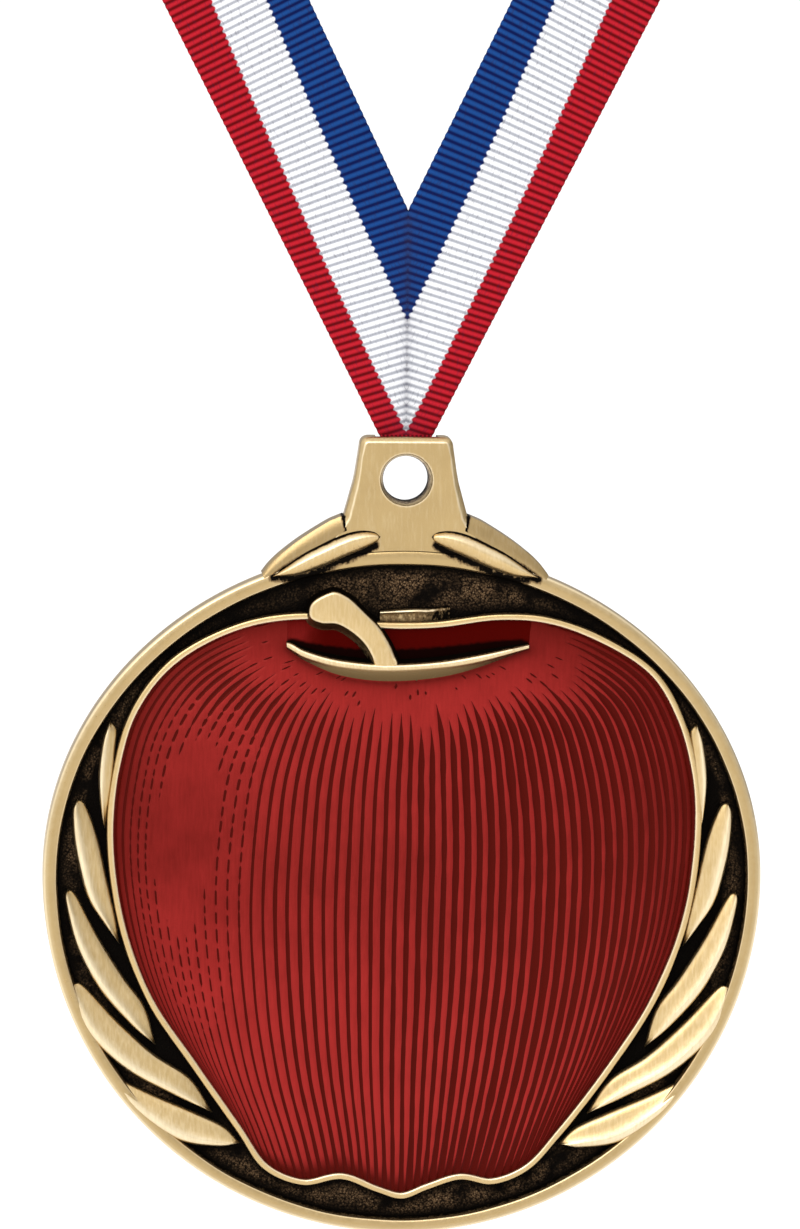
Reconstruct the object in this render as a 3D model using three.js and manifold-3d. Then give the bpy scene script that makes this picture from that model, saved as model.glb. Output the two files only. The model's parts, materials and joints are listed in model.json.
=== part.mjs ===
// An award medal on a neck ribbon, hanging upright: a gold casting with a red enamel apple, a laurel on
// each side and a hanger tab, hung on a pin from a striped ribbon whose two legs end in hanging loops.
// Millimetres, +Z up, the medal's face towards -Y. The origin lies midway between the two loops.
import * as THREE from 'three';
import { mergeVertices } from 'three/addons/utils/BufferGeometryUtils.js';
import Module from 'manifold-3d';

// ---- Driving dimensions. Heights z are above the centre of the medal's disc. ----
const discRadius = 35;             // half the medal's width, and the radius of its lower half
const discRise = 31.9;             // the flatter upper half reaches this high
const outlineSteps = 96;

const backY = 1.7;                 // the flat back
const floorY = -0.3;               // the sunk field inside the rim
const faceY = -1.7;                // the flat of the rim and of the hanger tab
const rimWidth = 1.15;
const rimWallDraft = 0.3;
const edgeBevel = 0.25;

const tabTop = 42.9;
const tabHalfTop = 4.5;
const tabCorner = 0.9;
const jointGap = 0.15;             // solder line between the tab and the disc
const holeZ = 38.75;
const holeRadius = 2.2;
const holeFlare = 0.35;            // the front rim of the hole opens by this much

const pinY = 0.4;
const pinZ = 42.15;
const pinRadius = 0.35;
const pinHalfLength = 4.2;
const pinClearance = 0.03;
const pocketHalfWidth = 3;         // the notch behind the tab's top edge that takes the folded ribbon
const pocketFloorZ = 41.3;
const pocketFrontY = -0.7;

const ribbonWidth = 12.7;
const ribbonThickness = 0.5;
const legTilt = THREE.MathUtils.degToRad(27);
const apexZ = 37.9;                // where the outer edges of the two legs would meet
const legFootZ = 43.1;             // the legs stop just above the tab
const foldHalfWidth = 2.5;
const foldGap = 0.08;
const foldThickness = 0.32;
const foldToLegs = 0.1;            // kept between the fold's neck and the legs' feet
const hemCentreZ = 89.6;           // the middle of the seam that closes each hanging loop
const hemLength = 3;
const loopRadius = 2.5;            // inside a hanging loop
const threadRadius = 0.18;
const threadLift = 0.05;           // kept between a thread and the cloth

const engravingRadius = 20;
const engravingThickness = 0.4;
const engravingPocketDepth = 0.5;
const engravingClearance = 0.3;

const borderWidth = 0.65;          // the raised wire around the apple
const borderDraft = 0.12;
const borderY = -1.55;
const enamelGap = 0.15;
const enamelEdgeY = -1.0;
const enamelCrownY = -1.45;
const stemY = -2.3;
const lipY = -2.1;
const wallDraft = 0.35;
const cutGap = 0.3;                // kept between a piece and the one that is cut to fit it
const lipCutGap = 0.42;            // a little more, to reach the foot of the stem's cut

const leafEdgeHeight = 0.45;
const leafRidgeHeight = 1.4;
const shoulderRidgeHeight = 0.95;
const leafSteps = 9;
const bluntShare = 0.25;           // of the first step along a leaf, cut off at its tip

// ---- Shapes drawn on the medal's face, as [x, z] ----
// The apple's outer outline, clockwise from the left shoulder, with two lobes and a point at the bottom.
const applePoints = [
  [-9.4, 25.7], [-3.5, 24.9], [2.7, 24.9], [9.2, 25.7], [14, 25.4], [19.4, 23.5], [24.6, 20.1],
  [27.3, 15.6], [28.9, 9.5], [29.1, 3.5], [27.9, -4.6], [24.9, -12.3], [20.8, -18.8], [15.9, -25.3],
  [12.6, -28.9], [9, -30.1], [6, -29.5], [2.9, -30.6], [0.3, -31.7], [-2.2, -31], [-5.5, -29.5],
  [-9, -30.2], [-13, -28.7], [-16, -25], [-20.4, -18.8], [-24.7, -12.5], [-27.5, -5.3], [-28.8, 3.5],
  [-28.2, 10.6], [-26.4, 16.4], [-22.6, 21.2], [-16, 24.7],
];
const appleCentre = [0, -2];

// Left-hand laurel leaves from the top down: tip, base, and the control points of the outer and inner edge.
const laurelLeaves = [
  { tip: [-28.6, 15.4], base: [-29.7, 4.8], outer: [-31.8, 9.9], inner: [-29.3, 10.1] },
  { tip: [-31.8, 7.6], base: [-28.5, -6.7], outer: [-33.2, 1.3], inner: [-29, 2.1] },
  { tip: [-32.6, -0.9], base: [-24.4, -15.9], outer: [-32.5, -10.6], inner: [-28.7, -6.2] },
  { tip: [-31.7, -10.3], base: [-18.9, -22.7], outer: [-28.6, -20.3], inner: [-24.7, -17.1] },
  { tip: [-26.6, -20], base: [-15.9, -26.1], outer: [-22.9, -25.4], inner: [-21.2, -22.2] },
];

// Long edges of the raised pieces: upper and lower edge, both from left to right (the stem from its top).
const stemEdges = {
  upper: [[-7.4, 27.9], [-5.3, 26.9], [-3.8, 26], [-2.4, 24.4], [-1.4, 22.9], [-0.6, 21.2]],
  lower: [[-9.3, 26.4], [-8, 25.1], [-6.4, 24.4], [-5.2, 23.6], [-4.2, 22.5], [-3.2, 21.3]],
};
const lipEdges = {
  upper: [[-11.5, 22.5], [-7.2, 21.3], [-2, 20.7], [2, 20.8], [7, 21.7], [12, 22.6]],
  lower: [[-11.5, 22.3], [-7, 20.5], [-2, 19.7], [2, 19.8], [7, 20.8], [12, 22.4]],
};
const cavityEdges = {
  upper: [[-2, 26.4], [1, 26.3], [4, 26.6]],
  lower: [[-2, 26.1], [1, 26], [4, 26.4]],
};
// The right-hand shoulder leaf, from its root on the tab to its tip over the rim.
const shoulderEdges = {
  upper: [[2.6, 33.7], [4.6, 34.3], [6.2, 35.2], [7.8, 34.7], [9.9, 33.5], [12, 32], [13.8, 30.1]],
  lower: [[2.6, 33.3], [4.5, 32], [6.9, 31], [9.6, 30], [12, 29.5], [13.8, 29.8]],
};

const gold = 0xd0b27d;
const brightGold = 0xe9d3a4;
const darkField = 0x2a2018;

// ---- Solid helpers ----
const wasm = await Module();
wasm.setup();

function toSolid(geometry) {
  const bare = geometry.clone();
  bare.deleteAttribute('normal');
  bare.deleteAttribute('uv');
  const merged = mergeVertices(bare, 1e-4);
  const vertProperties = Float32Array.from(merged.attributes.position.array);
  const triVerts = Uint32Array.from(merged.index.array);
  return new wasm.Manifold(new wasm.Mesh({ numProp: 3, vertProperties, triVerts }));
}

function toGeometry(solid) {
  const mesh = solid.getMesh();
  const geometry = new THREE.BufferGeometry();
  geometry.setAttribute('position', new THREE.BufferAttribute(mesh.vertProperties, 3));
  geometry.setIndex(new THREE.BufferAttribute(mesh.triVerts, 1));
  return geometry;
}

function cut(geometry, ...cutters) {
  return toGeometry(cutters.reduce((solid, cutter) => solid.subtract(toSolid(cutter)), toSolid(geometry)));
}

function join(geometry, ...others) {
  return toGeometry(others.reduce((solid, other) => solid.add(toSolid(other)), toSolid(geometry)));
}

function box(x0, x1, y0, y1, z0, z1) {
  const geometry = new THREE.BoxGeometry(x1 - x0, y1 - y0, z1 - z0);
  return geometry.translate((x0 + x1) / 2, (y0 + y1) / 2, (z0 + z1) / 2);
}

// A closed skin over a list of rings that have the same number of points, with a fan over each end.
function loft(rings) {
  const count = rings[0].length;
  const points = rings.flat();
  const index = [];
  for (let r = 0; r + 1 < rings.length; r += 1) {
    for (let p = 0; p < count; p += 1) {
      const a = r * count + p;
      const b = r * count + ((p + 1) % count);
      index.push(a, b, b + count, a, b + count, a + count);
    }
  }
  for (const [ring, first, forward] of [[rings[0], 0, false], [rings.at(-1), points.length - count, true]]) {
    const middle = ring.reduce((sum, p) => sum.add(p), new THREE.Vector3()).divideScalar(count);
    points.push(middle);
    for (let p = 0; p < count; p += 1) {
      const a = first + p;
      const b = first + ((p + 1) % count);
      index.push(...(forward ? [a, b, points.length - 1] : [b, a, points.length - 1]));
    }
  }
  return new THREE.BufferGeometry().setFromPoints(points).setIndex(index);
}

// A slab between two planes of constant y, whose outline is a list of [x, z].
function slab(outline, fromY, toY, bevel = 0) {
  const shape = new THREE.Shape(outline.map(([x, z]) => new THREE.Vector2(x, z)));
  const geometry = new THREE.ExtrudeGeometry(shape, {
    depth: toY - fromY - 2 * bevel,
    bevelEnabled: bevel > 0,
    bevelThickness: bevel,
    bevelSize: bevel,
    bevelOffset: -bevel,
    bevelSegments: 1,
  });
  return geometry.rotateX(Math.PI / 2).translate(0, toY - bevel, 0);
}

// Moves every point of a closed clockwise outline outwards by a distance.
function offset(outline, distance) {
  const count = outline.length;
  return outline.map(([x, z], i) => {
    const [x0, z0] = outline[(i + count - 1) % count];
    const [x1, z1] = outline[(i + 1) % count];
    const length = Math.hypot(x1 - x0, z1 - z0);
    return [x - (distance * (z1 - z0)) / length, z + (distance * (x1 - x0)) / length];
  });
}

// A band along a closed clockwise outline. The section is a list of [offset, y], back to front outside.
function band(outline, section) {
  const rings = section.map(([distance, y]) =>
    offset(outline, distance).map(([x, z]) => new THREE.Vector3(x, y, z)));
  const count = outline.length;
  const points = rings.flat();
  const index = [];
  for (let r = 0; r < rings.length; r += 1) {
    const next = (r + 1) % rings.length;
    for (let p = 0; p < count; p += 1) {
      const q = (p + 1) % count;
      index.push(r * count + p, next * count + q, r * count + q);
      index.push(r * count + p, next * count + p, next * count + q);
    }
  }
  return new THREE.BufferGeometry().setFromPoints(points).setIndex(index);
}

function alongSpline(points, steps) {
  const curve = new THREE.SplineCurve(points.map(([x, z]) => new THREE.Vector2(x, z)));
  return curve.getPoints(steps).map(({ x, y }) => [x, y]);
}

function alongArch(from, control, to, steps) {
  const curve = new THREE.QuadraticBezierCurve(
    new THREE.Vector2(...from), new THREE.Vector2(...control), new THREE.Vector2(...to));
  return curve.getPoints(steps).map(({ x, y }) => [x, y]);
}

const mix = ([x0, z0], [x1, z1], t) => [x0 + (x1 - x0) * t, z0 + (z1 - z0) * t];
const mirror = (points) => points.map(([x, z]) => [-x, z]);

// ---- The medal's body ----
function discOutline() {
  const points = [];
  for (let i = 0; i < outlineSteps; i += 1) {
    const angle = (-2 * Math.PI * i) / outlineSteps;
    const reach = Math.sin(angle) > 0 ? discRise : discRadius;
    points.push([discRadius * Math.cos(angle), reach * Math.sin(angle)]);
  }
  return points;
}

function basePlate() {
  const plate = slab(discOutline(), floorY, backY);
  const pocket = new THREE.CylinderGeometry(
    engravingRadius + engravingClearance, engravingRadius + engravingClearance, 2 * engravingPocketDepth, 64);
  return cut(plate, pocket.translate(0, backY, 0));
}

function engravingPlate() {
  const pocketFloor = backY - engravingPocketDepth;
  const disc = new THREE.CylinderGeometry(engravingRadius, engravingRadius, engravingThickness, 64);
  return disc.translate(0, pocketFloor + engravingThickness / 2, 0);
}

function outerRim() {
  return band(discOutline(), [
    [0, floorY], [0, faceY + edgeBevel], [-edgeBevel, faceY],
    [-rimWidth, faceY], [-rimWidth - rimWallDraft, floorY],
  ]);
}

function tabOutline() {
  const rightSide = [
    ...alongArch([tabHalfTop - tabCorner, tabTop], [tabHalfTop, tabTop], [tabHalfTop, tabTop - tabCorner], 4),
    ...alongSpline([[4.9, 39], [5.4, 37.2], [6.2, 35.2], [9.9, 33.2], [13.2, 30.2]], 10),
    [13, 27],
  ];
  return [...mirror(rightSide).reverse(), ...rightSide];
}

function hangerTab() {
  const disc = slab(offset(discOutline(), jointGap), faceY - 1, backY + 1);
  const hole = new THREE.CylinderGeometry(holeRadius, holeRadius, 10, 40).translate(0, 0, holeZ);
  const flare = new THREE.CylinderGeometry(holeRadius, holeRadius + 2 * holeFlare, 2 * holeFlare, 40);
  const pocket = box(
    -pocketHalfWidth, pocketHalfWidth, pocketFrontY, backY + 1, pocketFloorZ, tabTop + 1);
  const boreRadius = pinRadius + pinClearance;
  const pinBore = new THREE.CylinderGeometry(boreRadius, boreRadius, 20, 16);
  return cut(
    slab(tabOutline(), faceY, backY, edgeBevel), disc, hole,
    flare.rotateX(Math.PI).translate(0, faceY, holeZ), pocket,
    pinBore.rotateZ(Math.PI / 2).translate(0, pinY, pinZ));
}

function suspensionPin() {
  const pin = new THREE.CylinderGeometry(pinRadius, pinRadius, 2 * pinHalfLength, 16);
  return pin.rotateZ(Math.PI / 2).translate(0, pinY, pinZ);
}

// ---- Relief ----
// A leaf with a ridge: each section has a foot and a shoulder on both edges and a crest between them.
function ridgedLeaf(outerEdge, innerEdge, footY, ridgeHeight, ridgeShare) {
  const last = outerEdge.length - 1;
  const rings = outerEdge.map((outer, i) => {
    const inner = innerEdge[i];
    const swell = Math.sin(Math.PI * (0.08 + (0.84 * i) / last));
    const crest = mix(outer, inner, ridgeShare);
    const shoulderY = footY - leafEdgeHeight * (0.5 + 0.5 * swell);
    const crestY = footY - ridgeHeight * (0.45 + 0.55 * swell);
    return [
      new THREE.Vector3(outer[0], footY, outer[1]),
      new THREE.Vector3(outer[0], shoulderY, outer[1]),
      new THREE.Vector3(crest[0], crestY, crest[1]),
      new THREE.Vector3(inner[0], shoulderY, inner[1]),
      new THREE.Vector3(inner[0], footY, inner[1]),
    ];
  });
  return loft(rings);
}

// Both ends of a leaf stay a little blunt, so that no section shrinks to nothing.
function blunted(outerEdge, innerEdge) {
  return outerEdge.slice(0, -1).map((outer, i) => {
    if (i > 0) return [outer, innerEdge[i]];
    return [mix(outer, outerEdge[1], bluntShare), mix(innerEdge[0], innerEdge[1], bluntShare)];
  });
}

function laurelLeaf({ tip, base, outer, inner }, side) {
  const pairs = blunted(alongArch(tip, outer, base, leafSteps), alongArch(tip, inner, base, leafSteps));
  const outerEdge = pairs.map(([point]) => [side * point[0], point[1]]);
  const innerEdge = pairs.map(([, point]) => [side * point[0], point[1]]);
  return side < 0
    ? ridgedLeaf(outerEdge, innerEdge, floorY, leafRidgeHeight, 0.35)
    : ridgedLeaf(innerEdge, outerEdge, floorY, leafRidgeHeight, 0.65);
}

function shoulderLeaf(side) {
  const upper = alongSpline(shoulderEdges.upper, leafSteps);
  const lower = alongSpline(shoulderEdges.lower, leafSteps);
  return side < 0
    ? ridgedLeaf(mirror(lower), mirror(upper), faceY, shoulderRidgeHeight, 0.45)
    : ridgedLeaf(upper, lower, faceY, shoulderRidgeHeight, 0.55);
}

// A flat-topped raised strip between two long edges, whose walls spread by the draft towards the foot.
function raisedStrip({ upper, lower }, topY, grow = 0) {
  const steps = 12;
  const uppers = alongSpline(upper, steps);
  const lowers = alongSpline(lower, steps);
  return loft(uppers.map((high, i) => {
    const low = lowers[i];
    const width = Math.hypot(high[0] - low[0], high[1] - low[1]);
    const stretch = (by) => [mix(low, high, -by / width), mix(low, high, 1 + by / width)];
    const [topLow, topHigh] = stretch(grow);
    const [footLow, footHigh] = stretch(grow + wallDraft * (i > 0 && i < steps ? 1 : 0.4));
    return [
      new THREE.Vector3(footHigh[0], floorY, footHigh[1]),
      new THREE.Vector3(topHigh[0], topY - (grow ? 1 : 0), topHigh[1]),
      new THREE.Vector3(topLow[0], topY - (grow ? 1 : 0), topLow[1]),
      new THREE.Vector3(footLow[0], floorY, footLow[1]),
    ];
  }));
}

function appleOutline(steps) {
  const curve = new THREE.CatmullRomCurve3(
    applePoints.map(([x, z]) => new THREE.Vector3(x, 0, z)), true, 'centripetal');
  return curve.getPoints(steps).slice(0, -1).map(({ x, z }) => [x, z]);
}

function appleBorder() {
  const wire = band(appleOutline(120), [
    [0, floorY], [-borderDraft, borderY], [borderDraft - borderWidth, borderY], [-borderWidth, floorY],
  ]);
  return cut(wire, raisedStrip(stemEdges, stemY, cutGap));
}

function appleEnamel() {
  const edge = offset(appleOutline(120), -borderWidth - enamelGap);
  const middleY = (enamelEdgeY + enamelCrownY) / 2;
  const levels = [[0.5, enamelCrownY], [0.85, middleY], [1, enamelEdgeY], [1, floorY]];
  const rings = levels.map(([size, y]) => edge.map(([x, z]) => {
    const [cx, cz] = appleCentre;
    return new THREE.Vector3(cx + (x - cx) * size, y, cz + (z - cz) * size);
  }));
  return cut(loft(rings), raisedStrip(stemEdges, stemY, cutGap), raisedStrip(lipEdges, lipY, lipCutGap));
}

// ---- Ribbon ----
const legSpread = Math.tan(legTilt);
const hemCentreX = (hemCentreZ - apexZ) * legSpread - ribbonWidth / 2 / Math.cos(legTilt);

// Puts a piece drawn along a leg, with its length on z and its width on x, onto the leg of one side.
function ontoLeg(geometry, side) {
  return geometry.rotateY(side * legTilt).translate(side * hemCentreX, pinY, hemCentreZ);
}

function ribbonLeg(side) {
  const innerMeetZ = apexZ + ribbonWidth / Math.sin(legTilt);
  const halfAcross = [ribbonWidth / 2 * Math.cos(legTilt), ribbonWidth / 2 * Math.sin(legTilt)];
  const seam = cutGap / 2;
  const outline = [
    [seam, legFootZ], [seam, innerMeetZ + seam / legSpread],
    [hemCentreX - halfAcross[0], hemCentreZ + halfAcross[1]],
    [hemCentreX + halfAcross[0], hemCentreZ - halfAcross[1]],
    [(legFootZ - apexZ) * legSpread, legFootZ],
  ];
  const leg = slab(outline, pinY - ribbonThickness / 2, pinY + ribbonThickness / 2);
  const leftOrRight = side > 0 ? leg : slab(
    mirror(outline).reverse(), pinY - ribbonThickness / 2, pinY + ribbonThickness / 2);
  return join(leftOrRight, ontoLeg(hangingLoop(), side));
}

// The leg's end turned over to a loop and laid double at the hem; drawn upright, centred on the hem.
function hangingLoop() {
  const ringZ = hemLength / 2 + loopRadius;
  const ring = new THREE.CylinderGeometry(
    loopRadius + ribbonThickness, loopRadius + ribbonThickness, ribbonWidth, 24);
  const inside = new THREE.CylinderGeometry(loopRadius, loopRadius, ribbonWidth + 2, 24);
  const half = ribbonWidth / 2;
  const hem = box(-half, half, -ribbonThickness / 2, 1.5 * ribbonThickness, -hemLength / 2, hemLength / 2 + 0.4);
  return cut(
    join(hem, ring.rotateZ(Math.PI / 2).translate(0, 0, ringZ)),
    inside.rotateZ(Math.PI / 2).translate(0, 0, ringZ));
}

// The foot of the ribbon, folded around the pin: a sleeve with a double neck that rises out of the tab.
function ribbonFold() {
  const inner = pinRadius + foldGap;
  const sleeve = new THREE.CylinderGeometry(
    inner + foldThickness, inner + foldThickness, 2 * foldHalfWidth, 20);
  const bore = new THREE.CylinderGeometry(inner, inner, 4 * foldHalfWidth, 20);
  const neck = box(
    -foldHalfWidth, foldHalfWidth, -foldThickness, foldThickness, 0, legFootZ - pinZ - foldToLegs);
  const folded = cut(join(sleeve.rotateZ(Math.PI / 2), neck), bore.rotateZ(Math.PI / 2));
  return folded.translate(0, pinY, pinZ);
}

// A thread laid in a zigzag, as one closed tube.
function zigzagThread(length, swing, turns) {
  const points = [];
  for (let i = 0; i <= turns; i += 1) {
    points.push(new THREE.Vector3(i % 2 ? swing : -swing, 0, (length * i) / turns));
  }
  const path = new THREE.CatmullRomCurve3(points, false, 'catmullrom', 0.2);
  const circle = new THREE.Shape().absarc(0, 0, threadRadius, 0, 2 * Math.PI);
  return new THREE.ExtrudeGeometry(circle, {
    steps: 2 * turns, curveSegments: 3, bevelEnabled: false, extrudePath: path,
  });
}

function seamThread() {
  const foot = legFootZ + 1;
  const top = apexZ + ribbonWidth / Math.sin(legTilt) - 1;
  const behind = pinY + ribbonThickness / 2 + threadRadius + threadLift;
  return zigzagThread(top - foot, 0.6, 20).translate(0, behind, foot);
}

function hemThread(side) {
  const length = ribbonWidth - 2;
  const behind = 1.5 * ribbonThickness + threadRadius + threadLift;
  const thread = zigzagThread(length, 0.5, 10).rotateY(Math.PI / 2);
  return ontoLeg(thread.translate(-length / 2, behind, 0), side);
}

// ---- Assembly ----
const finishes = {
  gold: { color: gold, roughness: 0.3, metalness: 1 },
  polished: { color: brightGold, roughness: 0.18, metalness: 1 },
  field: { color: darkField, roughness: 0.7, metalness: 0.6 },
  engraving: { color: 0xcfc8b8, roughness: 0.35, metalness: 1 },
  steel: { color: 0xb8bbc0, roughness: 0.25, metalness: 1 },
  enamel: { color: 0x8e2320, roughness: 0.12, metalness: 0.1 },
  ribbon: { color: 0xc41e2c, roughness: 0.75, metalness: 0 },
  thread: { color: 0xe6e4de, roughness: 0.8, metalness: 0 },
};

function piece(name, geometry, finish) {
  const mesh = new THREE.Mesh(geometry, new THREE.MeshStandardMaterial(finishes[finish]));
  mesh.name = name;
  return mesh;
}

function medalPieces() {
  const pieces = new THREE.Group();
  pieces.add(
    piece('base_plate', basePlate(), 'field'),
    piece('engraving_plate', engravingPlate(), 'engraving'),
    piece('outer_rim', outerRim(), 'polished'),
    piece('hanger_tab', hangerTab(), 'gold'),
    piece('suspension_pin', suspensionPin(), 'steel'),
    piece('apple_border', appleBorder(), 'polished'),
    piece('apple_enamel', appleEnamel(), 'enamel'),
    piece('apple_stem', raisedStrip(stemEdges, stemY), 'gold'),
    piece('stem_cavity_lip', raisedStrip(lipEdges, lipY), 'gold'),
    piece('stem_cavity_edge', raisedStrip(cavityEdges, borderY), 'polished'));
  for (const [label, side] of [['left', -1], ['right', 1]]) {
    pieces.add(piece(`shoulder_leaf_${label}`, shoulderLeaf(side), 'gold'));
    laurelLeaves.forEach((leaf, i) => {
      pieces.add(piece(`laurel_leaf_${label}_${i + 1}`, laurelLeaf(leaf, -side), 'gold'));
    });
  }
  return pieces;
}

function ribbonPieces() {
  const pieces = new THREE.Group();
  pieces.add(piece('ribbon_fold', ribbonFold(), 'ribbon'), piece('seam_stitching', seamThread(), 'thread'));
  for (const [label, side] of [['left', -1], ['right', 1]]) {
    pieces.add(piece(`ribbon_${label}`, ribbonLeg(side), 'ribbon'));
    pieces.add(piece(`hem_stitching_${label}`, hemThread(side), 'thread'));
  }
  return pieces;
}

const group = new THREE.Group();
const loopHeight = hemCentreZ + (hemLength / 2 + loopRadius) * Math.cos(legTilt);
group.add(medalPieces(), ribbonPieces());
group.position.set(0, -pinY, -loopHeight);
group.name = 'medal';

export default group;
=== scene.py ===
# The looks of the apple medal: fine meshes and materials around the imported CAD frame.
# Shapes on the medal's face are given as (x, z) in millimetres from the centre of its disc, and heights
# in millimetres above the sunk field, towards the viewer.
import json
import math

import bpy
import numpy as np
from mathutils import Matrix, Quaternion, Vector, noise

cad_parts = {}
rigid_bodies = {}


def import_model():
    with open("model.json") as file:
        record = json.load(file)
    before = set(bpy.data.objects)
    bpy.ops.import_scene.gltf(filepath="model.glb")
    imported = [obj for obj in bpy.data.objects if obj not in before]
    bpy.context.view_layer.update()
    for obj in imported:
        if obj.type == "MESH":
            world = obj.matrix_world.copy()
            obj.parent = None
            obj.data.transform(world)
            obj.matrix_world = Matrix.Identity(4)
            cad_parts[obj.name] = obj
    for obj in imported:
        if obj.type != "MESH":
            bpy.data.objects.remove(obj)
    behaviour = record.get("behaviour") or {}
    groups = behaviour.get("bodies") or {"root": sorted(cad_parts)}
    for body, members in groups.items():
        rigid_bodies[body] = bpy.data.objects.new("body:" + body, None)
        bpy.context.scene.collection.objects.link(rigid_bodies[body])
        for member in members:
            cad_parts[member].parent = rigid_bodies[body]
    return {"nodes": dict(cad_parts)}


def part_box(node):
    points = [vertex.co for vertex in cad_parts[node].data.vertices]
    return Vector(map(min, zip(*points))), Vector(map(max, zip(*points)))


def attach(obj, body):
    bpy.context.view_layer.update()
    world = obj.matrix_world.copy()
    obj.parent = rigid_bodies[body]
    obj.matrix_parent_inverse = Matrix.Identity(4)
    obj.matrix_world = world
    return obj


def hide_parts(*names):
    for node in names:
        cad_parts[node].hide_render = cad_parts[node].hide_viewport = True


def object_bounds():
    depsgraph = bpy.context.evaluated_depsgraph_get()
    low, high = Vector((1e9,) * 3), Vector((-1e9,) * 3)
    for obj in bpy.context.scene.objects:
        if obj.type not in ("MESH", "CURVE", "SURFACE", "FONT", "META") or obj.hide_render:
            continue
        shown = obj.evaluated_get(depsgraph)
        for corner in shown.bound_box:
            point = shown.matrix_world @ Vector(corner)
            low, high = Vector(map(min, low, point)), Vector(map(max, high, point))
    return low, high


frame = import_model()
cad_low, cad_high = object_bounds()
MM = 0.001

# ---- Places taken from the frame ----
plate_low, plate_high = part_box("base_plate")
rim_low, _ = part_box("outer_rim")
_, tab_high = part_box("hanger_tab")
pin_low, pin_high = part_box("suspension_pin")
leg_low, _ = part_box("ribbon_left")

DISC_RADIUS = (plate_high.x - plate_low.x) / 2 / MM
DISC_CENTRE_Z = plate_low.z + DISC_RADIUS * MM
FIELD_Y = plate_low.y
DISC_RISE = (plate_high.z - DISC_CENTRE_Z) / MM
FACE = (FIELD_Y - rim_low.y) / MM          # height of the rim's flat
BACK = (FIELD_Y - plate_high.y) / MM       # height of the flat back, below the field
TAB_TOP = (tab_high.z - DISC_CENTRE_Z) / MM

# ---- Sizes of the looks ----
RIM_WIDTH = 1.25                           # of the rim's flat, a little wider at the top than at the foot
RIM_SPREAD = 0.08
WALL_GAP = 0.1                             # from the rim's flat inwards, where the field ends under its wall
HOLE = (0, 38.75)
HOLE_RADIUS = 2.2
HOLE_FLARE = 0.35
TAB_HALF_TOP = 4.5
BORDER_WIDTH = 0.65
BORDER_HEIGHT = 1.3
AROUND = 720                               # points round the disc

APPLE_POINTS = [
    (-9.4, 25.7), (-3.5, 24.9), (2.7, 24.9), (9.2, 25.7), (14, 25.4), (19.4, 23.5), (24.6, 20.1),
    (27.3, 15.6), (28.9, 9.5), (29.1, 3.5), (27.9, -4.6), (24.9, -12.3), (20.8, -18.8), (15.9, -25.3),
    (12.6, -28.9), (9.1, -30.3), (6, -29.85), (2.9, -30.8), (0.3, -31.75), (-2.2, -31.1), (-5.6, -29.85),
    (-9.4, -30.45), (-13.2, -28.9), (-16, -25), (-20.4, -18.8), (-24.7, -12.5), (-27.5, -5.3), (-28.8, 3.5),
    (-28.2, 10.6), (-26.4, 16.4), (-22.6, 21.2), (-16, 24.7),
]
# Left-hand laurel leaves from the top down, outer and inner edge, both from tip to base.
LAUREL = [
    ([(-28.6, 15.0), (-29.3, 13.1), (-29.7, 9.6), (-29.4, 6.1), (-29.0, 4.4)],
     [(-28.6, 15.0), (-27.9, 14.2), (-28.0, 12.4), (-28.3, 8.8), (-29.0, 4.4)]),
    ([(-31.7, 7.3), (-32.2, 6.0), (-31.9, 2.3), (-30.7, -2.2), (-28.9, -5.0), (-27.5, -6.8)],
     [(-31.7, 7.3), (-30.9, 6.8), (-29.7, 3.7), (-28.7, -0.5), (-27.9, -3.9), (-27.5, -6.8)]),
    ([(-32.6, -1.5), (-32.8, -2.7), (-31.7, -7.1), (-29.5, -11.2), (-26.4, -14.7), (-23.9, -16.7)],
     [(-32.6, -1.5), (-31.7, -2.1), (-29.6, -6.0), (-27.0, -10.1), (-24.9, -13.0), (-23.9, -16.7)]),
    ([(-31.8, -10.7), (-32.2, -11.6), (-30.6, -15.5), (-27.0, -19.0), (-22.2, -21.6), (-18.3, -23.3)],
     [(-31.8, -10.7), (-30.8, -11.0), (-27.5, -14.45), (-24.0, -17.6), (-20.4, -20.0), (-18.3, -23.3)]),
    ([(-28.1, -19.7), (-27.5, -20.95), (-25.4, -23.5), (-21.6, -26.1), (-17.8, -26.7), (-15.6, -26.3)],
     [(-28.1, -19.7), (-27.5, -20.0), (-24.0, -21.6), (-20.2, -23.2), (-17.1, -24.7), (-15.6, -26.3)]),
]
STEM = [
    (-2.6, 20.2), (-3.2, 21.6), (-3.9, 22.75), (-5.0, 23.8), (-6.6, 24.7), (-8.2, 24.8), (-9.2, 25.3),
    (-9.3, 26.2), (-8.9, 26.9), (-7.3, 27.75), (-6.8, 27.8), (-5.6, 27.25), (-3.9, 25.7), (-2.7, 24.5),
    (-1.8, 23.2), (-1.2, 22.0), (-0.7, 20.3),
]
# The lip of the stem's hollow, from left to right: both edges of its face, and the foot of its wall.
LIP_UPPER = [
    (-11.5, 22.8), (-10.9, 22.6), (-9.5, 21.9), (-6.4, 21.1), (-2, 20.7), (2.9, 20.95), (7, 21.6),
    (12.1, 22.7),
]
LIP_LOWER = [
    (-11.45, 22.35), (-10.7, 21.9), (-9.5, 21.3), (-6.4, 20.5), (-2, 20.15), (2.9, 20.4), (7, 21.0),
    (12.1, 22.35),
]
LIP_FOOT = [
    (-11.45, 22.1), (-10.6, 21.4), (-9.5, 20.7), (-6.4, 19.4), (-2, 18.85), (2.9, 19.2), (7, 20.2),
    (12.1, 22.15),
]
LEDGE_TOP = [(-2.4, 25.85), (-0.9, 25.95), (0.9, 26.05), (2.4, 26.05), (4.4, 26.25)]
LEDGE_FOOT = [(-2.4, 24.9), (-0.9, 24.75), (0.9, 24.7), (2.4, 24.75), (4.4, 25.0)]
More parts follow.
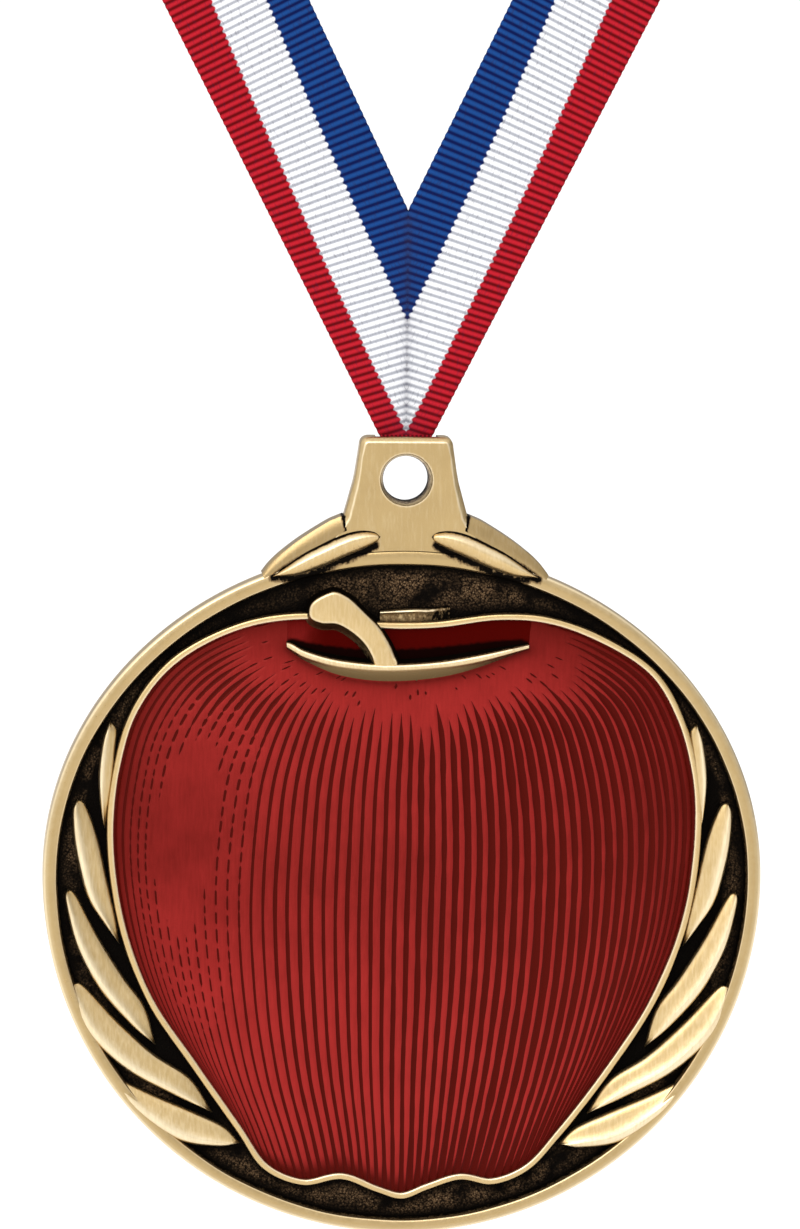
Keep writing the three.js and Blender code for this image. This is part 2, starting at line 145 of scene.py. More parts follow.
# The right-hand shoulder: its lens from tip to tip, and the flare behind it.
LENS_UPPER = [(2.5, 33.2), (3.1, 33.7), (4.4, 33.85), (6.0, 33.5), (8.0, 32.6), (10.2, 31.4), (12.9, 29.3)]
LENS_LOWER = [(2.5, 33.2), (2.9, 32.6), (4.2, 31.9), (6.0, 31.1), (8.0, 30.2), (10.6, 29.35), (12.9, 29.3)]
FLARE_UPPER = [
    (6.05, 35.25), (6.7, 35.0), (7.75, 34.5), (10.2, 32.95), (12.1, 31.5), (13.2, 30.45), (13.95, 29.5),
]
FLARE_LOWER = [
    (5.4, 32.2), (6.6, 31.4), (8.0, 30.7), (10.0, 30.1), (11.8, 29.3), (12.7, 28.8), (13.5, 28.6),
]


# ---- Curves ----
def spline(points, count, closed=False, knot_power=0.0):
    """Points along a Catmull-Rom curve: knot_power 0 is uniform, 0.5 is centripetal."""
    p = np.asarray(points, float)
    if closed:
        p = np.vstack([p[-1], p, p[0], p[1]])
    else:
        p = np.vstack([2 * p[0] - p[1], p, 2 * p[-1] - p[-2]])
    spans = len(p) - 3
    u = np.linspace(0, spans, count, endpoint=not closed)
    i = np.minimum(u.astype(int), spans - 1)
    t = (u - i)[:, None]
    a, b, c, d = p[i], p[i + 1], p[i + 2], p[i + 3]
    gaps = [np.maximum(np.linalg.norm(n - m, axis=1, keepdims=True), 1e-9) ** knot_power
            for m, n in ((a, b), (b, c), (c, d))]
    d0, d1, d2 = gaps
    m1 = ((b - a) / d0 - (c - a) / (d0 + d1) + (c - b) / d1) * d1
    m2 = ((c - b) / d1 - (d - b) / (d1 + d2) + (d - c) / d2) * d1
    return (b + m1 * t + (-3 * b + 3 * c - 2 * m1 - m2) * t ** 2
            + (2 * b - 2 * c + m1 + m2) * t ** 3)


def arch(start, control, end, count):
    """Points along a quadratic curve."""
    t = np.linspace(0, 1, count)[:, None]
    a, b, c = (np.asarray(p, float) for p in (start, control, end))
    return (1 - t) ** 2 * a + 2 * t * (1 - t) * b + t ** 2 * c


def even(points, count, closed=False):
    """The same line with its points spaced evenly."""
    p = np.vstack([points, points[:1]]) if closed else np.asarray(points)
    along = np.r_[0, np.cumsum(np.linalg.norm(np.diff(p, axis=0), axis=1))]
    at = np.linspace(0, along[-1], count, endpoint=not closed)
    return np.column_stack([np.interp(at, along, p[:, k]) for k in range(p.shape[1])])


def grown(outline, distance):
    """A closed clockwise outline moved outwards by a distance, or by one for each point."""
    ahead, behind = np.roll(outline, -1, axis=0), np.roll(outline, 1, axis=0)
    way = ahead - behind
    way /= np.linalg.norm(way, axis=1, keepdims=True)
    return outline + np.column_stack([-way[:, 1], way[:, 0]]) * np.reshape(distance, (-1, 1))


def smooth(low, high, x):
    t = np.clip((x - low) / (high - low), 0, 1)
    return t * t * (3 - 2 * t)


def wobble(points, scale, seed=0.0):
    """Smooth noise from -1 to 1 at each point, for features of the given size in millimetres."""
    flat = np.asarray(points, float).reshape(-1, np.shape(points)[-1])
    shift = Vector((seed, 2 * seed, 3 * seed))
    if flat.shape[1] == 2:
        flat = np.column_stack([flat[:, 0], np.zeros(len(flat)), flat[:, 1]])
    values = [noise.noise(Vector(p / scale) + shift) for p in flat]
    return np.array(values).reshape(np.shape(points)[:-1])


def disc_outline(count=AROUND):
    angle = -2 * np.pi * np.arange(count) / count
    reach = np.where(np.sin(angle) > 0, DISC_RISE, DISC_RADIUS)
    return np.column_stack([DISC_RADIUS * np.cos(angle), reach * np.sin(angle)])


apple_outline = even(spline(APPLE_POINTS, 1280, closed=True, knot_power=0.5), AROUND, closed=True)


# ---- Meshes ----
def on_medal(flat, height):
    """World points in metres from (x, z) on the face and heights above the field."""
    flat = np.asarray(flat, float)
    high = np.broadcast_to(np.asarray(height, float), flat.shape[:-1])
    return np.stack([flat[..., 0] * MM, FIELD_Y - high * MM, DISC_CENTRE_Z + flat[..., 1] * MM], axis=-1)


def add_mesh(name, points, faces, **values):
    mesh = bpy.data.meshes.new(name)
    mesh.from_pydata(np.asarray(points, float).reshape(-1, 3).tolist(), [], faces)
    for key, numbers in values.items():
        layer = mesh.attributes.new(key, "FLOAT", "POINT")
        full = np.zeros(len(mesh.vertices), np.float32)
        flat = np.asarray(numbers, np.float32).reshape(-1)
        full[:len(flat)] = flat
        layer.data.foreach_set("value", full)
    mesh.validate()
    mesh.update()
    obj = bpy.data.objects.new(name, mesh)
    bpy.context.scene.collection.objects.link(obj)
    return obj


def select_only(*pieces):
    """Selects these pieces alone, the first as the active one."""
    bpy.context.view_layer.objects.active = pieces[0]
    for obj in bpy.context.scene.objects:
        obj.select_set(obj in pieces)


def tidy(obj, angle=35):
    """Faces point out, and only edges sharper than the angle stay sharp."""
    select_only(obj)
    bpy.ops.object.mode_set(mode="EDIT")
    bpy.ops.mesh.select_all(action="SELECT")
    bpy.ops.mesh.normals_make_consistent(inside=False)
    bpy.ops.object.mode_set(mode="OBJECT")
    obj.data.shade_smooth()
    obj.data.set_sharp_from_angle(angle=math.radians(angle))
    return obj


def ring_faces(rings, count, closed=False):
    """Quads between rings of the same number of points; closed joins the last ring to the first."""
    faces = []
    for r in range(rings if closed else rings - 1):
        low, high = r * count, ((r + 1) % rings) * count
        for p in range(count):
            q = (p + 1) % count
            faces.append((low + p, low + q, high + q, high + p))
    return faces


def ring_body(name, rings, closed=False, angle=35, **values):
    """A closed body over a list of rings, each an array of world points."""
    count = len(rings[0])
    points = np.concatenate(rings)
    faces = ring_faces(len(rings), count, closed)
    if not closed:
        faces.append(tuple(range(count)))
        faces.append(tuple(range(len(points) - count, len(points)))[::-1])
    return tidy(add_mesh(name, points, faces, **values), angle)


def sheet_faces(rows, columns):
    return [(r * columns + c, r * columns + c + 1, (r + 1) * columns + c + 1, (r + 1) * columns + c)
            for r in range(rows - 1) for c in range(columns - 1)]


def grid_rim(rows, columns):
    """Indices of a grid's points around its rim."""
    index = np.arange(rows * columns).reshape(rows, columns)
    return np.concatenate([index[0, :-1], index[:-1, -1], index[-1, :0:-1], index[:0:-1, 0]])


def backed_sheet(name, flat, height, back_height, angle=35, **values):
    """A closed body under a grid of (x, z) points with heights: its rim drops to a flat back."""
    rows, columns = height.shape
    rim = grid_rim(rows, columns)
    top = on_medal(flat, height).reshape(-1, 3)
    foot = on_medal(flat.reshape(-1, 2)[rim], np.full(len(rim), back_height))
    count = len(rim)
    faces = sheet_faces(rows, columns)
    for k in range(count):
        n = (k + 1) % count
        faces.append((int(rim[n]), int(rim[k]), rows * columns + k, rows * columns + n))
    faces.append(tuple(rows * columns + k for k in range(count)))
    return tidy(add_mesh(name, np.concatenate([top, foot]), faces, **values), angle)


def finish_piece(obj, body, slot, material, *nodes):
    obj.data.materials.clear()
    obj.data.materials.append(material)
    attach(obj, body)
    if nodes:
        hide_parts(*nodes)
    return obj


# ---- Material helpers ----
class Shader:
    """A material's node tree, with short calls for the nodes used here."""

    def __init__(self, name):
        self.material = bpy.data.materials.new(name)
        self.material.use_nodes = True
        self.nodes = self.material.node_tree.nodes
        self.links = self.material.node_tree.links
        self.surface = next(n for n in self.nodes if n.type == "BSDF_PRINCIPLED")

    def link(self, value, socket):
        if isinstance(value, bpy.types.NodeSocket):
            self.links.new(value, socket)
        else:
            socket.default_value = value

    def math(self, operation, a, b=0.0, clamp=False):
        node = self.nodes.new("ShaderNodeMath")
        node.operation = operation
        node.use_clamp = clamp
        self.link(a, node.inputs[0])
        self.link(b, node.inputs[1])
        return node.outputs[0]

    def times(self, a, b, clamp=False):
        return self.math("MULTIPLY", a, b, clamp)

    def plus(self, a, b, clamp=False):
        return self.math("ADD", a, b, clamp)

    def about(self, value, middle, gain):
        """How far a value lies from its middle, times a gain."""
        return self.times(self.math("SUBTRACT", value, middle), gain)

    def step(self, value, low, high):
        """0 below low, 1 above high, smooth between."""
        node = self.nodes.new("ShaderNodeMapRange")
        node.interpolation_type = "SMOOTHSTEP"
        self.link(value, node.inputs["Value"])
        node.inputs["From Min"].default_value = low
        node.inputs["From Max"].default_value = high
        return node.outputs["Result"]

    def span(self, value, low, high):
        """A value from 0 to 1 stretched to run from low to high."""
        node = self.nodes.new("ShaderNodeMapRange")
        self.link(value, node.inputs["Value"])
        node.inputs["To Min"].default_value = low
        node.inputs["To Max"].default_value = high
        return node.outputs["Result"]

    def blend(self, share, a, b):
        node = self.nodes.new("ShaderNodeMix")
        node.data_type = "RGBA"
        self.link(share, node.inputs[0])
        for value, socket in ((a, node.inputs[6]), (b, node.inputs[7])):
            if isinstance(value, tuple):
                value = (*value, 1)
            self.link(value, socket)
        return node.outputs[2]

    def attribute(self, name):
        node = self.nodes.new("ShaderNodeAttribute")
        node.attribute_name = name
        return node.outputs["Fac"]

    def place(self, scale=(1, 1, 1)):
        """The point in millimetres, times a scale along each axis."""
        where = self.nodes.new("ShaderNodeTexCoord")
        mapping = self.nodes.new("ShaderNodeMapping")
        mapping.inputs["Scale"].default_value = [s / MM for s in scale]
        self.links.new(where.outputs["Object"], mapping.inputs["Vector"])
        return mapping.outputs[0]

    def noise(self, at, scale=1.0, detail=3.0, rough=0.55):
        node = self.nodes.new("ShaderNodeTexNoise")
        self.links.new(at, node.inputs["Vector"])
        node.inputs["Scale"].default_value = scale
        node.inputs["Detail"].default_value = detail
        node.inputs["Roughness"].default_value = rough
        return node.outputs["Fac"]

    def bump(self, height, strength, distance_mm, normal=None):
        node = self.nodes.new("ShaderNodeBump")
        self.link(height, node.inputs["Height"])
        node.inputs["Strength"].default_value = strength
        node.inputs["Distance"].default_value = distance_mm * MM
        if normal is not None:
            self.links.new(normal, node.inputs["Normal"])
        return node.outputs[0]

    def set(self, name, value):
        if isinstance(value, tuple):
            value = (*value, 1)
        self.link(value, self.surface.inputs[name])


GOLD = (0.63, 0.452, 0.212)
GOLD_DULL = (0.53, 0.375, 0.172)
# The pale gold is that of the painted highlights and of the lighter brush streaks.
PALE_GOLD = (0.93, 0.80, 0.56)
# The dark gold is painted shade.
DARK_GOLD = (0.10, 0.062, 0.026)
BROWN_GOLD = (0.20, 0.13, 0.062)
# The black of patina, also used for painted shadow.
PATINA = (0.0022, 0.0014, 0.0008)
WEAK_SHINE = 0.025                         # specular level of dark, matt surfaces


def gold_material(name, brush, roughness, streaks=0.7, pale=0.7):
    """Gold plate with brush marks. Its attributes: a level from 0, black, over brown to 1, gold, whose black
    is partly patina and partly painted shadow; a painted highlight in pale gold; painted shade in dark gold."""
    s = Shader(name)
    marks = s.noise(s.place(brush), 1.0, 4.0, 0.6)
    cloud = s.noise(s.place((0.35, 0.35, 0.35)), 1.0, 2.0)
    grain = s.noise(s.place((6, 6, 3)), 1.0, 3.0, 0.65)
    blotch = s.noise(s.place((2.4, 2.4, 1.6)), 1.0, 3.0, 0.6)
    rough_edge = s.math("SUBTRACT", s.plus(grain, blotch), 1.0)
    worn = s.plus(s.attribute("wear"), s.times(rough_edge, 0.7))
    bare = s.step(worn, 0.22, 0.42)
    clean = s.step(worn, 0.40, 0.78)
    lit = s.times(s.attribute("crest"), pale, clamp=True)
    tone = s.plus(lit, s.about(marks, 0.5, streaks), clamp=True)
    metal = s.blend(tone, s.blend(cloud, GOLD_DULL, GOLD), PALE_GOLD)
    metal = s.blend(s.attribute("dull"), metal, DARK_GOLD)
    s.set("Base Color", s.blend(bare, PATINA, s.blend(clean, BROWN_GOLD, metal)))
    s.set("Metallic", s.span(bare, 0.1, 1.0))
    rough = s.plus(s.about(marks, 0.5, 0.25), roughness)
    s.set("Roughness", s.math("MAXIMUM", rough, s.span(clean, 0.55, 0.1)))
    s.set("Specular IOR Level", WEAK_SHINE)
    s.set("Normal", s.bump(marks, 0.5, 0.03, s.bump(grain, 0.3, 0.03)))
    return s.material


def field_material():
    """The blackened, pebbled field, with brown gold showing where the ground lies open."""
    s = Shader("antiqued_field")
    cells = s.nodes.new("ShaderNodeTexVoronoi")
    s.links.new(s.place((4.6, 4.6, 4.6)), cells.inputs["Vector"])
    cells.inputs["Scale"].default_value = 1.0
    pebble = s.math("SUBTRACT", 1.0, cells.outputs["Distance"])
    grain = s.noise(s.place((9, 9, 9)), 1.0, 3.0, 0.75)
    patch = s.noise(s.place((0.45, 0.45, 0.45)), 1.0, 2.0)
    ground = s.times(s.attribute("open"), s.step(patch, 0.30, 0.62))
    top = s.plus(s.times(pebble, 0.45), s.times(grain, 0.9))
    haze = s.times(s.step(top, 0.52, 0.96), ground, clamp=True)
    speck = s.times(s.step(top, 0.86, 1.02), ground, clamp=True)
    brown = s.blend(haze, PATINA, (0.175, 0.104, 0.052))
    s.set("Base Color", s.blend(speck, brown, (0.42, 0.30, 0.17)))
    s.set("Metallic", s.times(speck, 0.6))
    s.set("Roughness", 0.6)
    s.set("Specular IOR Level", WEAK_SHINE)
    s.set("Normal", s.bump(pebble, 0.6, 0.1, s.bump(grain, 0.4, 0.05)))
    return s.material


def enamel_material(name, shine):
    """Clear red over brushed metal. Of its attributes, ink marks the engraved strokes, tone is painted light
    and shade on the open red, shade is painted shade along the edges and under the lip, and the black
    corners are partly patina and partly painted shadow."""
    s = Shader(name)
    brushed = s.noise(s.place((5, 5, 0.5)), 1.0, 3.0)
    cloud = s.noise(s.place((0.25, 0.25, 0.25)), 1.0, 3.0)
    mottle = s.plus(s.times(brushed, 0.6), s.times(cloud, 0.7))
    level = s.plus(s.attribute("tone"), s.about(mottle, 0.65, 0.9),
                   clamp=True)
    land = s.blend(level, (0.110, 0.0055, 0.0045), (0.285, 0.0170, 0.0155))
    ink = s.step(s.attribute("ink"), 0.25, 0.75)
    stroke = s.blend(s.attribute("glow"), (0.046, 0.0011, 0.0005), (0.054, 0.0018, 0.0008))
    colour = s.blend(s.attribute("shade"), s.blend(ink, land, stroke), (0.050, 0.0008, 0.0003))
    # Black of patina and painted shadow over the corners.
    s.set("Base Color", s.blend(s.attribute("soot"), colour, (0.002, 0.0005, 0.0004)))
    s.set("Roughness", s.span(brushed, 0.30, 0.48))
    s.set("Specular IOR Level", shine)
    s.set("Specular Tint", (1.0, 0.16, 0.12))
    s.set("Normal", s.bump(brushed, 0.2, 0.02))
    return s.material


STRIPE_EDGES = (4.06, 8.85)                # red to white and white to blue, from the outer selvedge


def ribbon_material():
    """Grosgrain: three stripes woven in, ribs in the mesh with painted shade in the valleys between them,
    fine warp threads along the ribbon, and painted shade beside the seam.
    """
    s = Shader("grosgrain")
    across, along, rib = s.attribute("across"), s.attribute("along"), s.attribute("rib")
    warp = s.nodes.new("ShaderNodeCombineXYZ")
    s.links.new(s.times(across, 5.5), warp.inputs[0])
    s.links.new(s.times(along, 1.1), warp.inputs[1])
    thread = s.noise(warp.outputs[0], 1.0, 3.0, 0.6)
    edge = s.math("SUBTRACT", across, s.times(rib, 0.28))
    edge = s.plus(edge, s.about(thread, 0.5, 0.2))
    # Each colour runs from painted shade in the rib valleys to its crown.
    crown = s.step(rib, 0.2, 1.1)
    red = s.blend(crown, (0.110, 0.002, 0.003), (0.46, 0.013, 0.024))
    white = s.blend(crown, (0.36, 0.37, 0.41), (0.90, 0.90, 0.92))
    blue = s.blend(crown, (0.003, 0.007, 0.060), (0.010, 0.056, 0.220))
    first, second = (s.step(edge, at - 0.09, at + 0.09) for at in STRIPE_EDGES)
    colour = s.blend(first, red, s.blend(second, white, blue))
    colour = s.blend(s.times(s.step(thread, 0.50, 0.30), 0.35), colour, (0.02, 0.01, 0.03))
    # Painted shade beside the seam.
    s.set("Base Color", s.blend(s.attribute("tuck"), colour, (0.02, 0.015, 0.04)))
    s.set("Roughness", 0.75)
    s.set("Specular IOR Level", WEAK_SHINE)
    s.surface.inputs["Sheen Weight"].default_value = 0.05
    s.surface.inputs["Sheen Roughness"].default_value = 0.4
    s.set("Normal", s.bump(thread, 0.4, 0.04))
    return s.material


def thread_material():
    s = Shader("sewing_thread")
    twist = s.noise(s.place((9, 9, 22)), 1.0, 2.0)
    s.set("Base Color", s.blend(twist, (0.55, 0.54, 0.52), (0.90, 0.89, 0.86)))
    s.set("Roughness", 0.8)
    s.set("Normal", s.bump(twist, 0.6, 0.05))
    return s.material


def plain_metal(name, dark, light, roughness, brush):
    s = Shader(name)
    marks = s.noise(s.place(brush), 1.0, 4.0, 0.6)
    smudge = s.noise(s.place((0.2, 0.2, 0.2)), 1.0, 3.0)
    s.set("Base Color", s.blend(marks, dark, light))
    s.set("Metallic", 1.0)
    s.set("Roughness", s.plus(s.times(smudge, 0.2), roughness))
    s.set("Normal", s.bump(marks, 0.3, 0.02))
    return s.material


# ---- Medal ----
def polar(outline, angles):
    """Distance of an outline from the disc's centre at each angle."""
    own = np.arctan2(outline[:, 1], outline[:, 0])
    order = np.argsort(own)
    return np.interp(angles, own[order], np.hypot(*outline.T)[order], period=2 * np.pi)


def distance_to(flat, line):
    """Distance in millimetres from each point to the nearest point of a line."""
    points = np.asarray(flat, float).reshape(-1, 2)
    out = np.empty(len(points))
    for k in range(0, len(points), 4000):
        gap = points[k:k + 4000, None, :] - line[None]
        out[k:k + 4000] = np.sqrt((gap ** 2).sum(-1).min(1))
    return out.reshape(np.shape(flat)[:-1])


def mirrored(line, side):
    return np.asarray(line, float) * np.array([side, 1])


def lens_shadow(flat):
    """A painted shadow under the shoulder lenses: 1 just below them, falling to 0 away from them."""
    line = even(spline(LENS_LOWER, 200), 80)[6:]
    below = np.minimum(*(distance_to(flat, mirrored(line, side) - [0, 0.15]) for side in (-1, 1)))
    return smooth(0.75, 0.15, below)


def rim_width(outline):
    return RIM_WIDTH * (1 + RIM_SPREAD * outline[:, 1] / DISC_RADIUS)


def build_base_plate():
    outline = disc_outline()
    angles = np.arctan2(outline[:, 1], outline[:, 0])
    way = np.column_stack([np.cos(angles), np.sin(angles)])
    wall = polar(grown(outline, -rim_width(outline) - WALL_GAP), angles)
    border = polar(grown(apple_outline, -0.2), angles)
    rings, open_ground = [on_medal(way * 3, 0.0)], [np.zeros(AROUND)]
    rows = 26
    for k in range(rows):
        share = k / (rows - 1)
        flat = way * (border + (wall - border) * share)[:, None]
        gap = np.minimum(share, 1 - share) * (wall - border)
        beside = smooth(14, 18, np.abs(flat[:, 0])) * smooth(14, 10, flat[:, 1])
        above = smooth(20, 24, flat[:, 1])
        lit = smooth(0.15, 0.6, share) * smooth(14, 6, np.abs(flat[:, 0] - 2))
        # Beside the leaves the field stays black: partly patina, partly painted shadow.
        ground = smooth(0.15, 1.5, gap) * (1 - beside * (1 - 0.6 * smooth(0.55, 0.7, share)))
        ground *= 1 - 0.8 * above * (1 - lit)
        rings.append(on_medal(flat, 0.09 * wobble(flat, 0.33, 5) * ground + 0.05 * wobble(flat, 1.7, 9)))
        open_ground.append(ground)
    corner, pocket_radius, pocket_depth = 0.3, 20.3, 0.5
    edge = [(0, 0.0), (0, BACK + corner), (-corner * 0.3, BACK + corner * 0.3), (-corner, BACK)]
    pocket = [(pocket_radius + 0.15, BACK), (pocket_radius, BACK + 0.12),
              (pocket_radius, BACK + pocket_depth), (3.0, BACK + pocket_depth)]
    rings += [on_medal(grown(outline, distance), height) for distance, height in edge]
    rings += [on_medal(way * radius, height) for radius, height in pocket]
    back = len(edge) + len(pocket)
    open_ground += [np.zeros(AROUND)] * back
    wear = [np.zeros(AROUND)] * (rows + 1) + [np.ones(AROUND)] * back
    return ring_body("base_plate_fine", rings, open=np.concatenate(open_ground),
                     wear=np.concatenate(wear))


def build_rim():
    outline = disc_outline()
    width = rim_width(outline)
    section = [  # share of the width, further offset, height, wear, painted highlight
        (0, 0.0, 0.0, 0.9, 0.2), (0, 0.0, FACE - 0.34, 0.9, 0.4), (0, -0.05, FACE - 0.16, 1.0, 0.9),
        (0, -0.14, FACE - 0.05, 1.0, 0.9), (0, -0.28, FACE, 1.0, 0.35), (0.5, 0.0, FACE + 0.01, 1.0, 0.0),
        (1, 0.14, FACE, 1.0, 0.1), (1, 0.03, FACE - 0.04, 1.0, 0.6), (1, -0.03, FACE - 0.14, 0.6, 0.1),
        (1, -0.12, FACE - 0.5, 0.3, 0.0), (1, -0.3, 0.0, 0.0, 0.0),
    ]
    ripple = 0.04 * wobble(outline, 5, 3)
    rings, wears, crests = [], [], []
    for share, offset, height, wear, crest in section:
        flat = grown(outline, offset - share * (width + ripple))
        rings.append(on_medal(flat, height))
        # Below the shoulder lenses the rim gets a painted shadow.
        wears.append(wear * (1 - 0.95 * lens_shadow(flat)))
        crests.append(crest * np.where(flat[:, 1] > 0, smooth(9.0, 11.0, np.abs(flat[:, 0])), 1))
    wear, crest = np.concatenate(wears), np.concatenate(crests)
    # Where the rim has no painted highlight it gets some painted shade.
    return ring_body("outer_rim_fine", rings, closed=True, angle=60, wear=wear, crest=crest,
                     dull=0.24 * smooth(0.6, 0.3, crest))


def build_border():
    count = 900
    outline = even(apple_outline, count, closed=True)
    half = BORDER_WIDTH / 2
    width = half * (1 + 0.10 * wobble(outline, 4, 1))
    middle = grown(outline, -half)
    section = [  # share of the half width, height below the top, wear, painted highlight
        (1, 0.22, 0.45, 0.0), (0.9, 0.08, 0.85, 0.1), (0.62, 0.0, 1.0, 0.1), (0.1, 0.0, 1.0, 0.0),
        (-0.35, 0.0, 1.0, 0.3), (-0.62, 0.02, 1.0, 1.0), (-0.86, 0.10, 1.0, 1.0), (-1, 0.25, 0.75, 0.5),
    ]
    rings, wears, crests = [on_medal(grown(middle, half + 0.12), 0.0)], [0.0], [0.0]
    for share, drop, wear, crest in section:
        rings.append(on_medal(grown(middle, width * share), BORDER_HEIGHT - drop))
        wears.append(wear)
        crests.append(crest)
    rings.append(on_medal(grown(middle, -half), 0.0))
    return ring_body("apple_border_fine", rings, closed=True, angle=60,
                     wear=np.repeat([*wears, 0.0], count), crest=np.repeat([*crests, 0.0], count))


LEAF_PROFILE = [  # across a leaf from its outer to its inner edge: share, rise, wear, painted highlight
    (0.0, 0.0, 0.0, 0.0),
    (0.0, 0.30, 0.1, 0.0), (0.02, 0.62, 0.55, 0.0), (0.055, 0.84, 0.9, 0.3), (0.12, 0.96, 1.0, 1.0),
    (0.20, 1.0, 1.0, 1.0), (0.28, 0.98, 1.0, 1.0), (0.37, 0.92, 1.0, 0.5), (0.48, 0.86, 1.0, 0.2),
    (0.60, 0.81, 1.0, 0.1), (0.72, 0.77, 1.0, 0.1), (0.82, 0.73, 1.0, 0.1), (0.91, 0.66, 0.9, 0.3),
    (0.97, 0.52, 0.62, 0.2), (1.0, 0.30, 0.1, 0.0), (1.0, 0.0, 0.0, 0.0),
]
LENS_PROFILE = [
    (0.0, 0.0, 0.0, 0.0),
    (0.04, 0.34, 0.0, 0.0), (0.10, 0.48, 0.1, 0.0), (0.16, 0.62, 0.75, 0.3), (0.24, 0.86, 1.0, 0.9),
    (0.34, 0.98, 1.0, 0.7), (0.45, 1.0, 1.0, 0.2), (0.6, 0.96, 0.9, 0.0), (0.74, 0.86, 0.8, 0.0),
    (0.85, 0.68, 0.66, 0.0), (0.94, 0.42, 0.5, 0.0), (1.0, 0.1, 0.1, 0.0), (1.0, 0.0, 0.0, 0.0),
]
FLARE_PROFILE = [
    (0.0, 0.0, 1.0, 0.0), (0.0, 0.90, 1.0, 0.1), (0.04, 0.92, 1.0, 0.2), (0.22, 0.95, 1.0, 0.0),
    (0.42, 0.98, 1.0, 0.0), (0.62, 0.95, 0.2, 0.0), (0.78, 0.7, 0.0, 0.0), (1.0, 0.6, 0.0, 0.0),
    (1.0, 0.0, 0.0, 0.0),
]
STEPS = 60                                 # sections along a leaf
ALONG_LEAF = 0.5 - 0.5 * np.cos(np.pi * np.arange(1, STEPS) / STEPS)     # closer together at both ends


def leaf_body(name, outer, inner, foot, height, profile, base_dark, tip_dark=0.0, end_share=0.45,
              dull=0.0):
    """A leaf from tip to base between its outer and inner edge, from the foot's height to its own:
    at both ends it keeps only a share of its height, patina may darken either end, and painted shade may
    darken all of it."""
    swell = np.sin(np.pi * np.clip(0.08 + 0.86 * ALONG_LEAF, 0, 1)) ** 0.5
    rings, wears, crests = [], [], []
    for a, b, along, full in zip(outer, inner, ALONG_LEAF, swell):
        tall = (height - foot) * (end_share + (1 - end_share) * full)
        sides = [a + (b - a) * share for share, _, _, _ in profile]
        rings.append(on_medal(np.array(sides), [foot + tall * rise for _, rise, _, _ in profile]))
        fade = (1 - base_dark * smooth(0.84, 1.0, along)) * (1 - tip_dark * smooth(0.05, 0.01, along))
        wears += [wear * fade for _, _, wear, _ in profile]
        crests += [crest * full for _, _, _, crest in profile]
    return ring_body(name, rings, angle=50, wear=wears, crest=crests, dull=np.full(len(wears), dull))


def leaf_edges(outer, inner, side):
    """Both edges with their points closer at the ends, without the end points where they meet."""
    count = 300
    at = ALONG_LEAF * (count - 1)
    edges = (mirrored(even(spline(edge, count), count), side) for edge in (outer, inner))
    return [np.column_stack([np.interp(at, np.arange(count), edge[:, k]) for k in (0, 1)])
            for edge in edges]


def build_laurel(side, number):
    outer, inner = leaf_edges(*LAUREL[number], -side)
    label = "right" if side > 0 else "left"
    return leaf_body(f"laurel_{label}_{number + 1}_fine", outer, inner, 0.0, 1.62, LEAF_PROFILE, 0.45)


def join_pieces(pieces):
    select_only(*pieces)
    bpy.ops.object.join()
    return pieces[0]


def build_shoulder(side):
    label = "right" if side > 0 else "left"
    lens = leaf_body(f"shoulder_leaf_{label}_fine", *leaf_edges(LENS_UPPER, LENS_LOWER, side),
                     FACE - 0.3, FACE + 0.85, LENS_PROFILE, 0.2, 0.9)
    # The flare is darkened all over with painted shade.
    flare = leaf_body("flare", *leaf_edges(FLARE_UPPER, FLARE_LOWER, side),
                      BACK + 0.05, FACE + 0.1, FLARE_PROFILE, 0.0, 1.0, 1.0, 0.44)
    return join_pieces([lens, flare])


def build_stem():
    outline = even(spline(STEM, 600, closed=True, knot_power=0.5), 260, closed=True)
    ahead = np.roll(outline, -1, axis=0) - np.roll(outline, 1, axis=0)
    facing = np.clip(ahead[:, 0] / -np.linalg.norm(ahead, axis=1), 0, 1)    # 1 where the edge looks down
    draft = 0.38 + 0.5 * facing
    sink, sink_from, sink_to = 0.35, 21.4, 20.7     # the stem's foot goes in under the lip
    section = [  # share of the draft, further offset, height, wear where it looks down, elsewhere, painted highlight
        (1.0, 0.0, 0.5, 0.3, 0.0, 0.0), (0.7, 0.0, 0.95, 0.62, 0.0, 0.0), (0.3, 0.0, 1.5, 0.85, 0.05, 0.0),
        (0.0, 0.03, 1.82, 0.95, 0.4, 0.0), (0.0, -0.03, 1.93, 1.0, 1.0, 0.8),
        (0.0, -0.14, 2.0, 1.0, 1.0, 0.5), (0.0, -0.3, 2.01, 1.0, 1.0, 0.1),
    ]
    rings, wears, crests, dulls = [], [], [], []
    for share, offset, height, wear_down, wear_up, crest in section:
        flat = grown(outline, draft * share + offset)
        rings.append(on_medal(flat, height - sink * smooth(sink_from, sink_to, flat[:, 1])))
        wears.append(wear_up + (wear_down - wear_up) * facing)
        crests.append(np.full(len(outline), crest))
        # Painted shade on the walls that look down.
        dulls.append(0.95 * facing * (height < 1.9))
    return ring_body("apple_stem_fine", rings, angle=45, wear=np.concatenate(wears),
                     crest=np.concatenate(crests), dull=np.concatenate(dulls))


